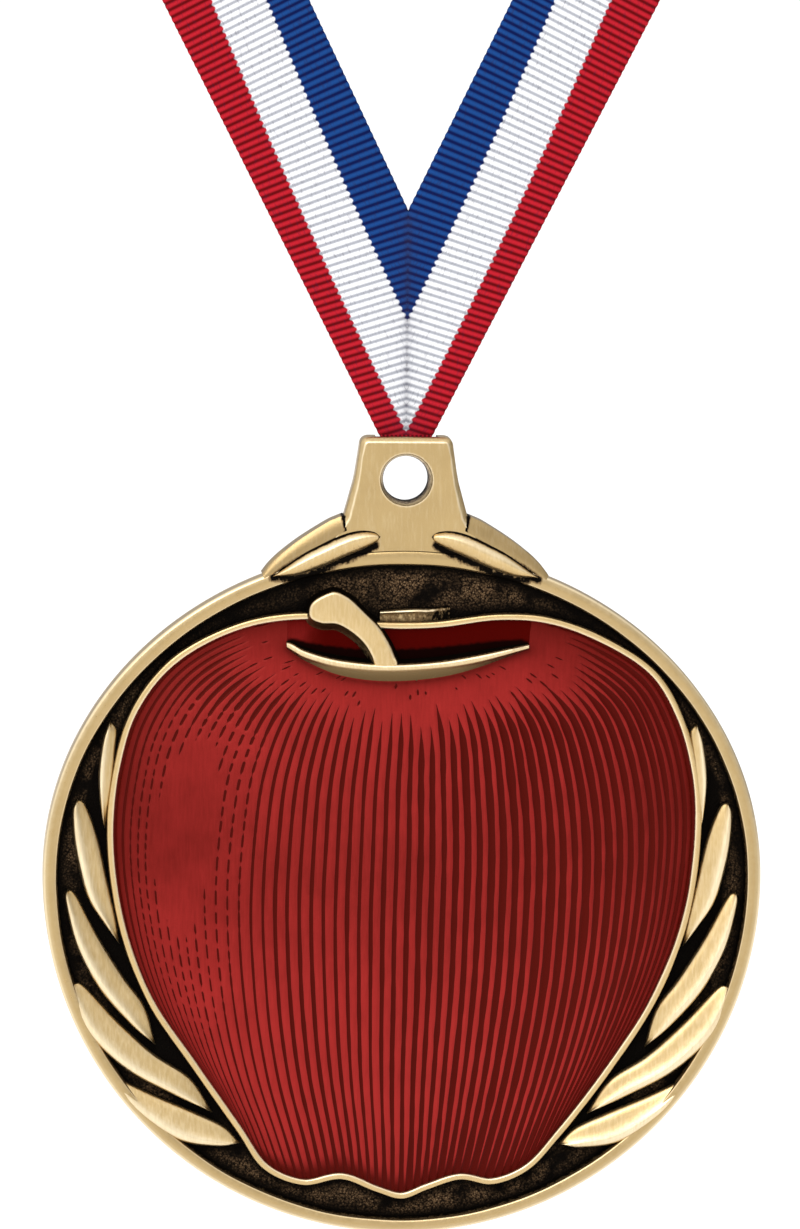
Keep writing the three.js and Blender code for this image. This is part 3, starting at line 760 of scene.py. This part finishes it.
def build_lip():
    upper, lower, foot = (even(spline(line, 300), 120) for line in (LIP_UPPER, LIP_LOWER, LIP_FOOT))
    t = np.linspace(0, 1, 120)
    full = np.sin(np.pi * np.clip(t, 0.02, 0.98)) ** 0.4
    # The black wall on the hollow's side is partly patina and partly painted shadow; the lower wall gets
    # painted shade.
    section = [  # share across the face, share down the wall, height, wear, painted highlight, painted shade
        (-0.9, 0.0, 0.3, 0.0, 0.0, 0.0), (-0.25, 0.0, 1.3, 0.0, 0.0, 0.0), (0.0, 0.0, 1.66, 0.7, 0.3, 0.0),
        (0.14, 0.0, 1.77, 1.0, 1.0, 0.0), (0.5, 0.0, 1.81, 1.0, 0.5, 0.0), (0.86, 0.0, 1.77, 1.0, 0.4, 0.0),
        (1.0, 0.02, 1.66, 1.0, 0.1, 0.4), (1.0, 0.14, 1.52, 1.0, 0.0, 0.8), (1.0, 0.45, 1.28, 0.9, 0.0, 0.9),
        (1.0, 0.8, 1.05, 0.8, 0.0, 0.95), (1.0, 1.0, 0.88, 0.4, 0.0, 1.0), (1.0, 1.05, 0.3, 0.1, 0.0, 1.0),
    ]
    rings = [on_medal(np.array([a + (b - a) * face + (c - b) * wall for face, wall, *_ in section]),
                      [row[2] * (0.62 + 0.38 * high) for row in section])
             for a, b, c, high in zip(upper, lower, foot, full)]
    wears, crests, dulls = ([row[k] for row in section] * len(rings) for k in (3, 4, 5))
    return ring_body("stem_cavity_lip_fine", rings, angle=45, wear=wears, crest=crests, dull=dulls)


def build_ledge():
    upper, lower = (even(spline(line, 200), 90) for line in (LEDGE_TOP, LEDGE_FOOT))
    section = [  # share from the ridge to the border, height, wear, painted highlight
        (-0.12, 0.0, 0.0, 0.0), (-0.03, 0.75, 0.5, 0.2), (0.05, 0.92, 1.0, 1.0), (0.14, 0.94, 1.0, 1.0),
        (0.2, 0.86, 0.7, 0.3), (0.3, 0.7, 0.52, 0.2), (0.6, 0.62, 0.50, 0.2), (1.0, 0.55, 0.42, 0.0),
        (1.0, 0.0, 0.0, 0.0),
    ]
    t = np.linspace(0, 1, 90)
    rings, wears = [], []
    for a, b, fade in zip(upper, lower, smooth(1.0, 0.45, t)):
        rings.append(on_medal(np.array([a + (b - a) * share for share, _, _, _ in section]),
                              [row[1] * (0.5 + 0.5 * fade) for row in section]))
        wears += [row[2] * (0.35 + 0.65 * fade) for row in section]
    crests = [row[3] for row in section] * len(rings)
    return ring_body("stem_cavity_edge_fine", rings, angle=50, wear=wears, crest=crests)


# ---- Enamel ----
LINES = 54
ROWS = 260
CORNERS = {"top left": (-11.4, 24.9), "top right": (12.3, 25.0),
           "bottom left": (-18.0, -22.0), "bottom right": (18.2, -22.3)}


def outline_between(start, end, count):
    """The stretch of the apple's inner outline that runs clockwise between two of its corners."""
    inner = grown(apple_outline, -BORDER_WIDTH * 0.7)
    first, last = (int(np.argmin(np.linalg.norm(inner - CORNERS[name], axis=1))) for name in (start, end))
    steps = (last - first) % len(inner)
    return even(inner[(first + np.arange(steps + 1)) % len(inner)], count)


def from_border(flat):
    """Distance in millimetres from each point to the inside of the apple's border."""
    return distance_to(flat, grown(apple_outline, -BORDER_WIDTH)[::3])


def stroke_width(u, v, line):
    """Share of a line's pitch that is engraved: u from -1 to 1 across the apple, v from 0 to 1 down it."""
    own = np.random.default_rng(700 + line).uniform(-1, 1, 4)
    base = np.interp(u, [-1, -0.8, -0.55, -0.45, -0.35, -0.1, 0.05, 0.25, 0.6, 0.8, 1],
                     [0.30, 0.22, 0.20, 0.24, 0.33, 0.34, 0.44, 0.56, 0.66, 0.58, 0.5])
    down = np.interp(v, [0, 0.24, 0.4, 0.6, 0.88, 0.97], [1, 1.25, 1, 1, 1.1, 1.5])
    drift = 1 + 0.12 * own[0] + 0.10 * np.sin(11 * v + 3 * own[1])
    start = np.interp(u, [-1, -0.8, -0.5, -0.3, 0, 0.3, 0.6, 0.8, 1],
                      [0.04, 0.06, 0.08, 0.12, 0.17, 0.12, 0.13, 0.09, 0.05]) + 0.03 * own[2]
    shoulder = 0.34 * np.exp(-((v - 0.16) / 0.06) ** 2) * smooth(-0.35, -0.5, u) * smooth(-1.0, -0.85, u)
    uneven = 1 + 0.2 * wobble(np.column_stack([v * 30, np.full_like(v, line * 2.3)]), 1.0, 6)
    return np.clip((base * down + shoulder) * drift * uneven, 0, 0.84) * smooth(start, start + 0.1, v)


def dashes(u, v, line):
    """1 where a line is cut, 0 where it is left out: broken strokes around the plain patch at the left."""
    own = np.random.default_rng(900 + line)
    count = 66
    ends = np.cumsum(own.uniform(0.7, 1.3, count)) * (0.019 + 0.014 * own.uniform()) + own.uniform(0, 0.03)
    at = np.clip(np.searchsorted(ends, v), 1, count - 1)
    into = (v - ends[at - 1]) / (ends[at] - ends[at - 1])
    dash = smooth(0.0, 0.10, into) * smooth(0.80, 0.68, into)
    patch = ((u + 0.70 + 0.10 * (v - 0.45)) / 0.105) ** 2 + ((v - 0.44) / 0.17) ** 2
    start = own.uniform(-0.05, 0.03)
    near = smooth(5.5, 3.0, patch) * smooth(-0.40, -0.47, u) * smooth(0.22, 0.26, v - start)
    return (1 - near * (1 - dash)) * smooth(0.95, 1.1, patch)


def nicks(v, line):
    """Short cuts above the long strokes."""
    own = np.random.default_rng(1300 + line)
    width = np.zeros_like(v)
    for place in own.uniform(0.02, 0.13, own.integers(0, 3)):
        length = own.uniform(0.015, 0.03)
        width += 0.28 * smooth(place, place + 0.008, v) * smooth(place + length, place + length - 0.008, v)
    return width


def coons(top, bottom, left, right, across, down):
    """Points of the patch between four edges, sampled at across (0 to 1) and down (0 to 1)."""
    def at(edge, where):
        place = np.linspace(0, 1, len(edge))
        return np.stack([np.interp(where, place, edge[:, k]) for k in (0, 1)], axis=-1)
    a, d = across[..., None], down[..., None]
    corners = ((1 - a) * (1 - d) * top[0] + a * (1 - d) * top[-1]
               + (1 - a) * d * bottom[0] + a * d * bottom[-1])
    return ((1 - d) * at(top, across) + d * at(bottom, across)
            + (1 - a) * at(left, down) + a * at(right, down) - corners)


def stroke_columns():
    """Columns of the enamel's grid, at both sides of every stroke: places across, ink, and u."""
    v = np.linspace(0, 1, ROWS)
    soft = 0.04
    columns, inks, lines = [], [], []
    for line in range(LINES):
        middle = (line + 0.5) / LINES
        u = 2 * middle - 1
        width = np.maximum(stroke_width(u, v, line) * dashes(u, v, line), nicks(v, line))
        sway = 0.10 * wobble(np.column_stack([v * 11, np.full(ROWS, line * 3.7)]), 1.0, 2)
        shown = smooth(0.01, 0.06, width)
        columns.append(np.full(ROWS, line / LINES))
        inks.append(np.zeros(ROWS))
        for place, ink in ((-1, 0), (-1, 1), (0, 1), (1, 1), (1, 0)):
            reach = width / 2 + (soft / 2 if ink == 0 else -soft / 2)
            columns.append(middle + (place * np.clip(reach, 0.004, 0.44) + sway * 0.3) / LINES)
            inks.append(shown * ink)
        lines += [np.full(ROWS, u)] * 6
    columns.append(np.ones(ROWS))
    inks.append(np.zeros(ROWS))
    lines.append(np.ones(ROWS))
    return (np.stack(each, axis=1) for each in (columns, inks, lines))


def build_enamel():
    foot = even(spline(LIP_FOOT, 300), 300)
    lower = even(spline(LIP_LOWER, 300), 300)
    lip = lower + (foot - lower) * 0.7
    top = even(np.vstack([CORNERS["top left"], lip, CORNERS["top right"]]), 400)
    left = outline_between("bottom left", "top left", 400)[::-1]
    right = outline_between("top right", "bottom right", 400)
    bottom = outline_between("bottom right", "bottom left", 400)[::-1]
    left[0], right[0] = top[0], top[-1]
    across, ink, u = stroke_columns()
    down = np.repeat(np.linspace(0, 1, ROWS)[:, None], across.shape[1], axis=1)
    flat = coons(top, bottom, left, right, across, down)
    gap = from_border(flat)
    under_lip = distance_to(flat, foot[::3])
    height = 0.78 + 0.34 * (1 - np.exp(-gap / 5)) + 0.10 * smooth(0, 20, gap) - 0.07 * ink
    tone = np.interp(down, [0, 0.12, 0.22, 0.32, 0.44, 0.56, 0.68, 0.8, 0.92, 1],
                     [0.55, 0.70, 0.80, 0.64, 0.46, 0.60, 0.84, 0.95, 0.9, 0.75])
    plain = np.exp(-((down - 0.44) / 0.16) ** 2) * smooth(-0.4, -0.7, u)
    tone = tone - 0.35 * smooth(0.4, 1.0, u) - 0.2 * plain
    shade = 0.85 * np.exp(-gap / (1.0 + 0.9 * smooth(0.2, 1.0, np.abs(u)) * smooth(1.0, 0.6, down)))
    # Painted shade under the lip and along the bottom.
    shade = np.clip(shade + 0.7 * np.exp(-under_lip / 0.5) + 0.5 * smooth(0.955, 0.985, down), 0, 1)
    glow = smooth(0.1, 0.7, u) * smooth(0.25, 0.5, down)
    # Just under the lip, black that is partly patina and partly painted shadow.
    return backed_sheet("apple_enamel_fine", flat, height, 0.0, angle=70, ink=ink, shade=shade, glow=glow,
                        tone=np.clip(tone, 0, 1), soot=0.3 * np.exp(-under_lip / 0.25))


def build_cavity():
    """The dark hollow behind the lip, a sheet that dips towards the stem's foot."""
    columns, rows = 160, 40
    low = even(spline(LIP_UPPER, 300), columns)
    high = outline_between("top left", "top right", columns)
    share = np.linspace(0, 1, rows)[:, None]
    flat = high[None] * (1 - share[..., None]) + low[None] * share[..., None]
    x = flat[..., 0]
    side = np.sin(np.pi * np.linspace(0, 1, columns))[None]
    height = 0.85 - 0.45 * share ** 0.7 * side ** 0.5
    band = 1.5 * side ** 0.35
    from_lip = np.linalg.norm(flat - low[None], axis=-1)
    # A black band above the lip: partly patina, partly painted shadow of its wall.
    soot = smooth(band + 0.15, band - 0.25, from_lip + 0.12 * wobble(flat, 0.5, 4))
    inside = smooth(-11.2, -7.5, x)
    gap = from_border(flat)
    shade = np.maximum(inside * (0.95 + 0.05 * smooth(0.5, 0.0, share)), 0.85 * np.exp(-gap / 1.3))
    level = 0.45 - 0.45 * inside
    none = np.zeros_like(x)
    return backed_sheet("cavity_enamel_fine", flat, height, 0.0, angle=70, ink=none, glow=none,
                        tone=level, shade=shade, soot=soot)


# ---- Tab ----
def tab_outline():
    """Clockwise outline of the tab from the middle of its top, and the bevel's width at each point."""
    corner, waist, notch = 0.95, 39.0, (6.0, 35.2)
    top = arch((TAB_HALF_TOP - corner, TAB_TOP), (TAB_HALF_TOP, TAB_TOP),
               (TAB_HALF_TOP + 0.05, TAB_TOP - corner), 30)
    flank = spline([(TAB_HALF_TOP + 0.05, TAB_TOP - corner), (5.0, waist), (5.45, 37.2), notch], 80)
    disc = grown(disc_outline(2880), -0.14)
    arc = disc[(disc[:, 1] > 0) & (np.abs(disc[:, 0]) < 8.5)]
    foot = even(arc[np.argsort(-arc[:, 0])], 140)
    hidden = spline([notch, (7.1, 33.3), foot[0]], 60)
    right = even(np.vstack([[(0, TAB_TOP)], top, flank[1:], hidden[1:-1]]), 200)
    outline = np.vstack([right, foot, mirrored(right[:0:-1], -1)])
    width = np.interp(right[:, 1], [31.5, 33, 34.6, TAB_TOP - 2 * corner, TAB_TOP - corner / 2],
                      [0.01, 0.3, 0.66, 0.42, 0.55])
    thin = 0.01 + 0.07 * smooth(0, 1.5, 8.5 - np.abs(foot[:, 0]))
    return outline, np.r_[width, thin, width[:0:-1]]


def build_tab():
    outline, bevel = tab_outline()
    is_foot = bevel < 0.1
    spokes = outline - HOLE
    spokes /= np.linalg.norm(spokes, axis=1, keepdims=True)
    mouth = HOLE_RADIUS + HOLE_FLARE
    edges = [  # share of the bevel, further offset, height, wear, painted highlight
        (1.15, 0.0, FACE, 1.0, 0.0), (1.0, 0.0, FACE, 1.0, 0.6), (0.85, 0.0, FACE - 0.03, 1.0, 1.0),
        (0.65, 0.0, FACE - 0.09, 1.0, 0.25), (0.3, 0.0, FACE - 0.24, 0.95, 0.15),
        (0.08, 0.0, FACE - 0.38, 0.8, 0.1), (0.0, 0.0, FACE - 0.5, 0.7, 0.1),
        (0.0, 0.0, BACK + 0.3, 0.7, 0.0), (0.0, 0.1, BACK + 0.1, 1.0, 0.3), (0.0, 0.3, BACK, 1.0, 0.0),
    ]
    bore = [  # radius, height, wear, painted highlight
        (mouth, BACK, 1.0, 0.0), (HOLE_RADIUS + 0.1, BACK, 1.0, 0.2), (HOLE_RADIUS, BACK + 0.1, 0.1, 0.0),
        (HOLE_RADIUS, FACE - 1.7, 0.22, 0.0), (HOLE_RADIUS + HOLE_FLARE * 0.3, FACE - 0.75, 0.5, 0.0),
        (HOLE_RADIUS + HOLE_FLARE * 0.6, FACE - 0.35, 0.72, 0.0), (mouth - 0.03, FACE - 0.06, 1.0, 0.5),
        (mouth + 0.04, FACE, 1.0, 0.8), (mouth + 0.16, FACE, 1.0, 0.1),
    ]
    inner, outer = HOLE + spokes * (mouth + 0.25), grown(outline, -bevel * 1.25)
    shares = np.linspace(0, 1, 28)
    rings = [on_medal(inner + (outer - inner) * share, FACE) for share in shares]
    # A painted shadow on the tab's face below the shoulder lenses.
    wears = [1 - 0.97 * lens_shadow(inner + (outer - inner) * share) for share in shares]
    crests = [np.zeros(len(outline))] * len(shares)
    for share, offset, height, wear, crest in edges:
        flat = grown(outline, -bevel * share - offset)
        rings.append(on_medal(flat, height))
        wears.append(np.where(is_foot, wear * (height >= FACE), wear) * (1 - 0.97 * lens_shadow(flat)))
        crests.append(np.where(is_foot, 0.0, crest))
    for radius, height, wear, crest in bore:
        rings.append(on_medal(HOLE + spokes * radius, height))
        wears.append(np.full(len(outline), wear))
        crests.append(np.full(len(outline), crest))
    wear, crest = np.concatenate(wears), np.concatenate(crests)
    # Painted shade on all but the painted highlights.
    return ring_body("hanger_tab_fine", rings, closed=True, angle=40, wear=wear, crest=crest,
                     dull=0.18 * (1 - crest))


def cut_pin_pocket(tab):
    """Takes the pocket for the pin out of the tab's back."""
    pocket_width, pocket_floor, pocket_front = 3.0, 41.3, FACE - 1.0
    square = np.array([(-pocket_width, pocket_floor), (-pocket_width, TAB_TOP + 1),
                       (pocket_width, TAB_TOP + 1), (pocket_width, pocket_floor)])
    tool = ring_body("pocket", [on_medal(square, BACK - 1), on_medal(square, pocket_front)],
                     wear=np.full(8, 0.7), crest=np.zeros(8))
    cut = tab.modifiers.new("pocket", "BOOLEAN")
    cut.operation, cut.object, cut.solver = "DIFFERENCE", tool, "EXACT"
    view = bpy.context.evaluated_depsgraph_get()
    tab.data = bpy.data.meshes.new_from_object(tab.evaluated_get(view), depsgraph=view)
    tab.modifiers.clear()
    bpy.data.objects.remove(tool)
    return tidy(tab, 40)


def build_pin():
    count, chamfer = 32, 0.06 * MM
    turn = -2 * np.pi * np.arange(count) / count
    circle = np.column_stack([np.zeros(count), np.cos(turn), np.sin(turn)])
    radius, half = (pin_high.z - pin_low.z) / 2, (pin_high.x - pin_low.x) / 2
    centre = (pin_low + pin_high) / 2
    rings = [circle * (radius - inset) + [x, centre.y, centre.z]
             for x, inset in ((-half, chamfer), (-half + chamfer, 0), (half - chamfer, 0), (half, chamfer))]
    return ring_body("suspension_pin_fine", rings)


def build_engraving_plate():
    low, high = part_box("engraving_plate")
    radius, middle_z = (high.x - low.x) / 2, (high.z + low.z) / 2
    count, edge = 256, 0.1 * MM
    turn = 2 * np.pi * np.arange(count) / count
    section = [(radius - edge, high.y), (radius, high.y - edge), (radius, low.y)]
    rings = [np.column_stack([np.cos(turn) * r, np.full(count, y), np.sin(turn) * r + middle_z])
             for r, y in section]
    return ring_body("engraving_plate_fine", rings)


# ---- Ribbon ----
TILT = math.radians(27)                    # of a leg's edges from upright
RIBBON_WIDTH = 12.7
APEX_Z = 37.9                              # where the outer edges would meet
HEM_Z = 89.6
HEM_LENGTH = 3.0
LOOP_RADIUS = 2.75
RIB_PITCH = 0.7
RIB_SKEW = math.tan(math.radians(9.5))      # the ribs lean from square across the ribbon
SHEET = 0.2                                # half the woven thickness, without its ribs
RIB_HEIGHT = 0.09                          # on each face
SELVEDGE_BULGE = 0.06                      # of each rib's end
NARROWING = 0.08                           # of a leg's width, on the way to the tab
RIBBON_Y = (pin_low.y + pin_high.y) / 2
PIN_Z = (pin_low.z + pin_high.z) / 2
LEG_FOOT_Z = leg_low.z - 0.5 * MM
LEG_START = 1.0                            # along the leg from where the outer edges would meet
OVERLAP = 0.06 * MM                        # of the legs at their seam


def ribbon_path():
    """Middle line of a leg in its own upright plane, from below the tab over the loop: length along it,
    and the points as (along the leg, depth)."""
    hem = (HEM_Z - APEX_Z) / math.cos(TILT) - RIBBON_WIDTH / 2 * math.tan(TILT)
    top = hem + HEM_LENGTH / 2
    centre = top + LOOP_RADIUS - 0.25
    turn = np.radians(np.linspace(-58, 238, 40))
    loop = np.column_stack([centre + LOOP_RADIUS * np.sin(turn), -LOOP_RADIUS * np.cos(turn)])
    start = np.column_stack([np.linspace(-6, top - 0.4, 14), np.zeros(14)])
    tail = np.array([[top - 0.2, 0.55], [top - 0.8, 0.50], [hem, 0.48], [hem - HEM_LENGTH / 2, 0.48]])
    path = even(spline(np.vstack([start, loop, tail]), 900), 2400)
    length = np.r_[0, np.cumsum(np.linalg.norm(np.diff(path, axis=0), axis=1))] - 6
    return length, path


def way_down(z):
    """0 where a leg leaves the hem, 1 where it meets the tab."""
    top, foot = 85.3, 43.0
    return np.clip((top - z) / (top - foot), 0, 1)


def stripe_drift(z):
    """How far the stripes run towards the outer edge on the way down to the tab."""
    share = way_down(z)
    return 3.6 * share - 1.8 * share ** 2


def two_sided(rows, columns):
    """Faces of a sheet with a front, a back and a rim, from two grids of points."""
    count = rows * columns
    front = sheet_faces(rows, columns)
    back = [tuple(i + count for i in face)[::-1] for face in front]
    rim = grid_rim(rows, columns)
    sides = [(int(a), int(b), int(b) + count, int(a) + count) for a, b in zip(rim, np.roll(rim, -1))]
    return front + back + sides


def build_leg(side):
    length, path = ribbon_path()
    steps, threads = 6, 40
    at = LEG_START + np.arange(int((length[-1] - LEG_START) / RIB_PITCH) * steps + 1) * RIB_PITCH / steps
    across = np.linspace(0, RIBBON_WIDTH, threads)          # from the outer edge
    skew = RIB_SKEW * smooth(48, 18, at)
    s = at[:, None] - across[None] * skew[:, None]
    way = np.gradient(path, axis=0)
    way /= np.linalg.norm(way, axis=1, keepdims=True)
    place_along, place_deep, way_along, way_deep = (
        np.interp(s, length, line) for line in (path[:, 0], path[:, 1], way[:, 0], way[:, 1]))
    rib = np.repeat(np.abs(np.sin(np.pi * at / RIB_PITCH))[:, None], threads, axis=1)
    edge = np.minimum(across, RIBBON_WIDTH - across)
    thick = (SHEET + RIB_HEIGHT * rib) * (0.25 + 0.75 * np.clip(edge / 0.35, 0, 1) ** 0.5)
    bulge = SELVEDGE_BULGE * rib * (1 - np.clip(edge / 0.5, 0, 1)) * np.sign(across - RIBBON_WIDTH / 2)
    z = s * math.cos(TILT) + across * math.sin(TILT) + APEX_Z
    squeeze = 1 - NARROWING * way_down(z)
    inward = (across + bulge) * squeeze                     # from the leg's outer edge
    points = []
    for face in (-1, 1):
        up = place_along + face * way_deep * thick
        deep = place_deep - face * way_along * thick
        out = up * math.sin(TILT) - inward * math.cos(TILT)
        high = up * math.cos(TILT) + inward * math.sin(TILT) + APEX_Z
        points.append(np.stack([side * out * MM, deep * MM + RIBBON_Y, high * MM + DISC_CENTRE_Z], axis=-1))
    x = np.abs(points[0][..., 0]) / MM
    broken = smooth(-0.2, 0.3, wobble(np.column_stack([at, at]), 0.9, 8))[:, None]
    # Painted shade beside the seam where the legs meet.
    tuck = smooth(66, 64, z) * (0.30 * np.exp(-x / 0.9) + (0.15 + 0.3 * broken) * np.exp(-x / 0.15))
    values = {"rib": rib, "across": across[None] * squeeze + stripe_drift(z), "along": s, "tuck": tuck}
    return add_mesh("leg", np.concatenate([p.reshape(-1, 3) for p in points]), two_sided(len(at), threads),
                    **{key: np.tile(value.reshape(-1), 2) for key, value in values.items()})


def trim(obj, point, normal):
    """Cuts a mesh by a plane, drops what lies on the normal's side and closes the cut."""
    select_only(obj)
    bpy.ops.object.mode_set(mode="EDIT")
    bpy.ops.mesh.select_all(action="SELECT")
    bpy.ops.mesh.bisect(plane_co=point, plane_no=normal, use_fill=True, clear_outer=True)
    bpy.ops.object.mode_set(mode="OBJECT")


def build_ribbon(side):
    obj = build_leg(side)
    obj.name = "ribbon_right_fine" if side > 0 else "ribbon_left_fine"
    trim(obj, (-side * OVERLAP, 0, 0), (-side, 0, 0))
    trim(obj, (0, 0, LEG_FOOT_Z), (0, 0, -1))
    return tidy(obj, 60)


def build_fold():
    """The ribbon's foot: a neck that divides around the pin and closes under it."""
    low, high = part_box("ribbon_fold")
    outer, inner = 0.73, 0.42                               # radii of the cloth around the pin
    top = (high.z - PIN_Z) / MM
    sweep = np.radians(np.linspace(62, -242, 40))
    circle = np.column_stack([np.cos(sweep), np.sin(sweep)])
    section = np.vstack([[(0.3, top)], circle * outer, [(-0.3, top), (-0.02, top)],
                         circle[::-1] * inner, [(0.02, top)]])
    half, rows = (high.x - low.x) / 2, 61
    rings = [np.column_stack([np.full(len(section), x), section[:, 0] * MM + RIBBON_Y,
                              section[:, 1] * MM + PIN_Z]) for x in np.linspace(-half, half, rows)]
    total = rows * len(section)
    rib = 0.5 + 0.5 * np.sin(np.repeat(np.arange(rows), len(section)) * 1.3)
    return ring_body("ribbon_fold_fine", rings, rib=rib, across=np.full(total, 2.0),
                     along=np.full(total, 2.0), tuck=np.zeros(total))


# ---- Stage ----
def build_floor():
    size, drop = 4.0, 0.03
    z = cad_low.z - drop
    floor = add_mesh("floor", [(-size, -size, z), (size, -size, z), (size, size, z), (-size, size, z)],
                     [(0, 1, 2, 3)])
    s = Shader("pale_floor")
    s.set("Base Color", (0.9, 0.9, 0.9))
    s.set("Roughness", 0.9)
    s.set("Emission Color", (1.0, 1.0, 1.0))
    s.set("Emission Strength", 0.15)
    floor.data.materials.append(s.material)


TENT_LIGHT = (-0.40, -0.30, 0.87)          # where the light tent is brightest


def build_world():
    """A light tent, brightest from the upper left, and plain white where the camera sees it."""
    world = bpy.data.worlds.new("light_tent")
    bpy.context.scene.world = world
    world.use_nodes = True
    nodes, links = world.node_tree.nodes, world.node_tree.links
    nodes.clear()
    out = nodes.new("ShaderNodeOutputWorld")
    tent, white = nodes.new("ShaderNodeBackground"), nodes.new("ShaderNodeBackground")
    pick, path = nodes.new("ShaderNodeMixShader"), nodes.new("ShaderNodeLightPath")
    where, lean = nodes.new("ShaderNodeTexCoord"), nodes.new("ShaderNodeVectorMath")
    lean.operation = "DOT_PRODUCT"
    lean.inputs[1].default_value = TENT_LIGHT
    ramp = nodes.new("ShaderNodeMapRange")
    ramp.interpolation_type = "SMOOTHSTEP"
    ramp.inputs["From Min"].default_value = -0.4
    ramp.inputs["From Max"].default_value = 1.0
    ramp.inputs["To Min"].default_value = 0.38
    ramp.inputs["To Max"].default_value = 1.35
    links.new(where.outputs["Generated"], lean.inputs[0])
    links.new(lean.outputs["Value"], ramp.inputs["Value"])
    links.new(ramp.outputs[0], tent.inputs["Strength"])
    links.new(path.outputs["Is Camera Ray"], pick.inputs[0])
    links.new(tent.outputs[0], pick.inputs[1])
    links.new(white.outputs[0], pick.inputs[2])
    for background in (tent, white):
        background.inputs["Color"].default_value = (1, 1, 1, 1)
    links.new(pick.outputs[0], out.inputs[0])


def add_softbox(name, place, size, watts):
    light = bpy.data.lights.new(name, "AREA")
    light.shape = "RECTANGLE"
    light.size, light.size_y = size
    light.energy = watts
    obj = bpy.data.objects.new(name, light)
    bpy.context.scene.collection.objects.link(obj)
    obj.location = place
    aim = Vector((0, 0, DISC_CENTRE_Z)) - obj.location
    obj.rotation_euler = aim.to_track_quat("-Z", "Y").to_euler()


def build_camera():
    azimuth, elevation, roll = math.radians(-3), math.radians(5.5), math.radians(0.6)
    height_seen = 119.5 * MM
    camera = bpy.data.cameras.new("camera")
    camera.lens = 400
    camera.sensor_width = 36
    distance = height_seen * camera.lens / camera.sensor_width
    target = Vector((-0.5 * MM, FIELD_Y - FACE * MM, DISC_CENTRE_Z + 25.62 * MM))
    back = Vector((math.sin(azimuth) * math.cos(elevation), -math.cos(azimuth) * math.cos(elevation),
                   math.sin(elevation)))
    obj = bpy.data.objects.new("camera", camera)
    bpy.context.scene.collection.objects.link(obj)
    obj.location = target + back * distance
    turn = (-back).to_track_quat("-Z", "Y") @ Quaternion((0, 0, 1), roll)
    obj.rotation_euler = turn.to_euler()
    bpy.context.scene.camera = obj


# ---- Everything ----
build_camera()
build_world()
build_floor()
add_softbox("key", (-0.25, -0.75, 0.45), (0.5, 0.4), 3.0)
bpy.context.scene.view_settings.view_transform = "Standard"

grosgrain = ribbon_material()
for side, label in ((-1, "left"), (1, "right")):
    finish_piece(build_ribbon(side), "ribbon", "ribbon", grosgrain, f"ribbon_{label}")
fold = finish_piece(build_fold(), "ribbon", "ribbon", grosgrain, "ribbon_fold")

brushed = gold_material("brushed_gold", (4.5, 4.5, 0.7), 0.34)
polished = gold_material("polished_gold", (2, 2, 2), 0.32, 0.25)
satin = gold_material("satin_gold", (0.35, 7, 7), 0.32)
enamel = enamel_material("red_enamel", 0.35)
# A copy of the red enamel with almost no reflection, so that the black patina and painted shadow along the
# lip stay black.
deep_enamel = enamel_material("deep_enamel", 0.04)
field = field_material()

plate = finish_piece(build_base_plate(), "medal", "antiqued_gold", field, "base_plate")
plate.data.materials.append(satin)
for polygon in plate.data.polygons:
    polygon.material_index = int(polygon.center.y > FIELD_Y + 0.3 * MM)
finish_piece(build_rim(), "medal", "polished_gold", polished, "outer_rim")
finish_piece(build_border(), "medal", "polished_gold", polished, "apple_border")
finish_piece(cut_pin_pocket(build_tab()), "medal", "brushed_gold", brushed, "hanger_tab")
steel = plain_metal("pin_steel", (0.45, 0.46, 0.48), (0.75, 0.76, 0.78), 0.2, (8, 1, 1))
finish_piece(build_pin(), "medal", "pin_steel", steel, "suspension_pin")
blank = plain_metal("satin_blank", (0.62, 0.56, 0.42), (0.80, 0.75, 0.62), 0.22, (0.3, 8, 8))
finish_piece(build_engraving_plate(), "medal", "engraving_plate", blank, "engraving_plate")
finish_piece(build_stem(), "medal", "brushed_gold", brushed, "apple_stem")
finish_piece(build_lip(), "medal", "brushed_gold", brushed, "stem_cavity_lip")
finish_piece(build_ledge(), "medal", "polished_gold", polished, "stem_cavity_edge")
finish_piece(build_enamel(), "medal", "red_enamel", enamel, "apple_enamel")
finish_piece(build_cavity(), "medal", "red_enamel", deep_enamel)
for side, label in ((-1, "left"), (1, "right")):
    finish_piece(build_shoulder(side), "medal", "brushed_gold", brushed, f"shoulder_leaf_{label}")
    for number in range(len(LAUREL)):
        finish_piece(build_laurel(side, number), "medal", "brushed_gold", brushed,
                     f"laurel_leaf_{label}_{number + 1}")

thread = thread_material()
for name in ("seam_stitching", "hem_stitching_left", "hem_stitching_right"):
    node = frame["nodes"][name]
    node.data.materials.clear()
    node.data.materials.append(thread)
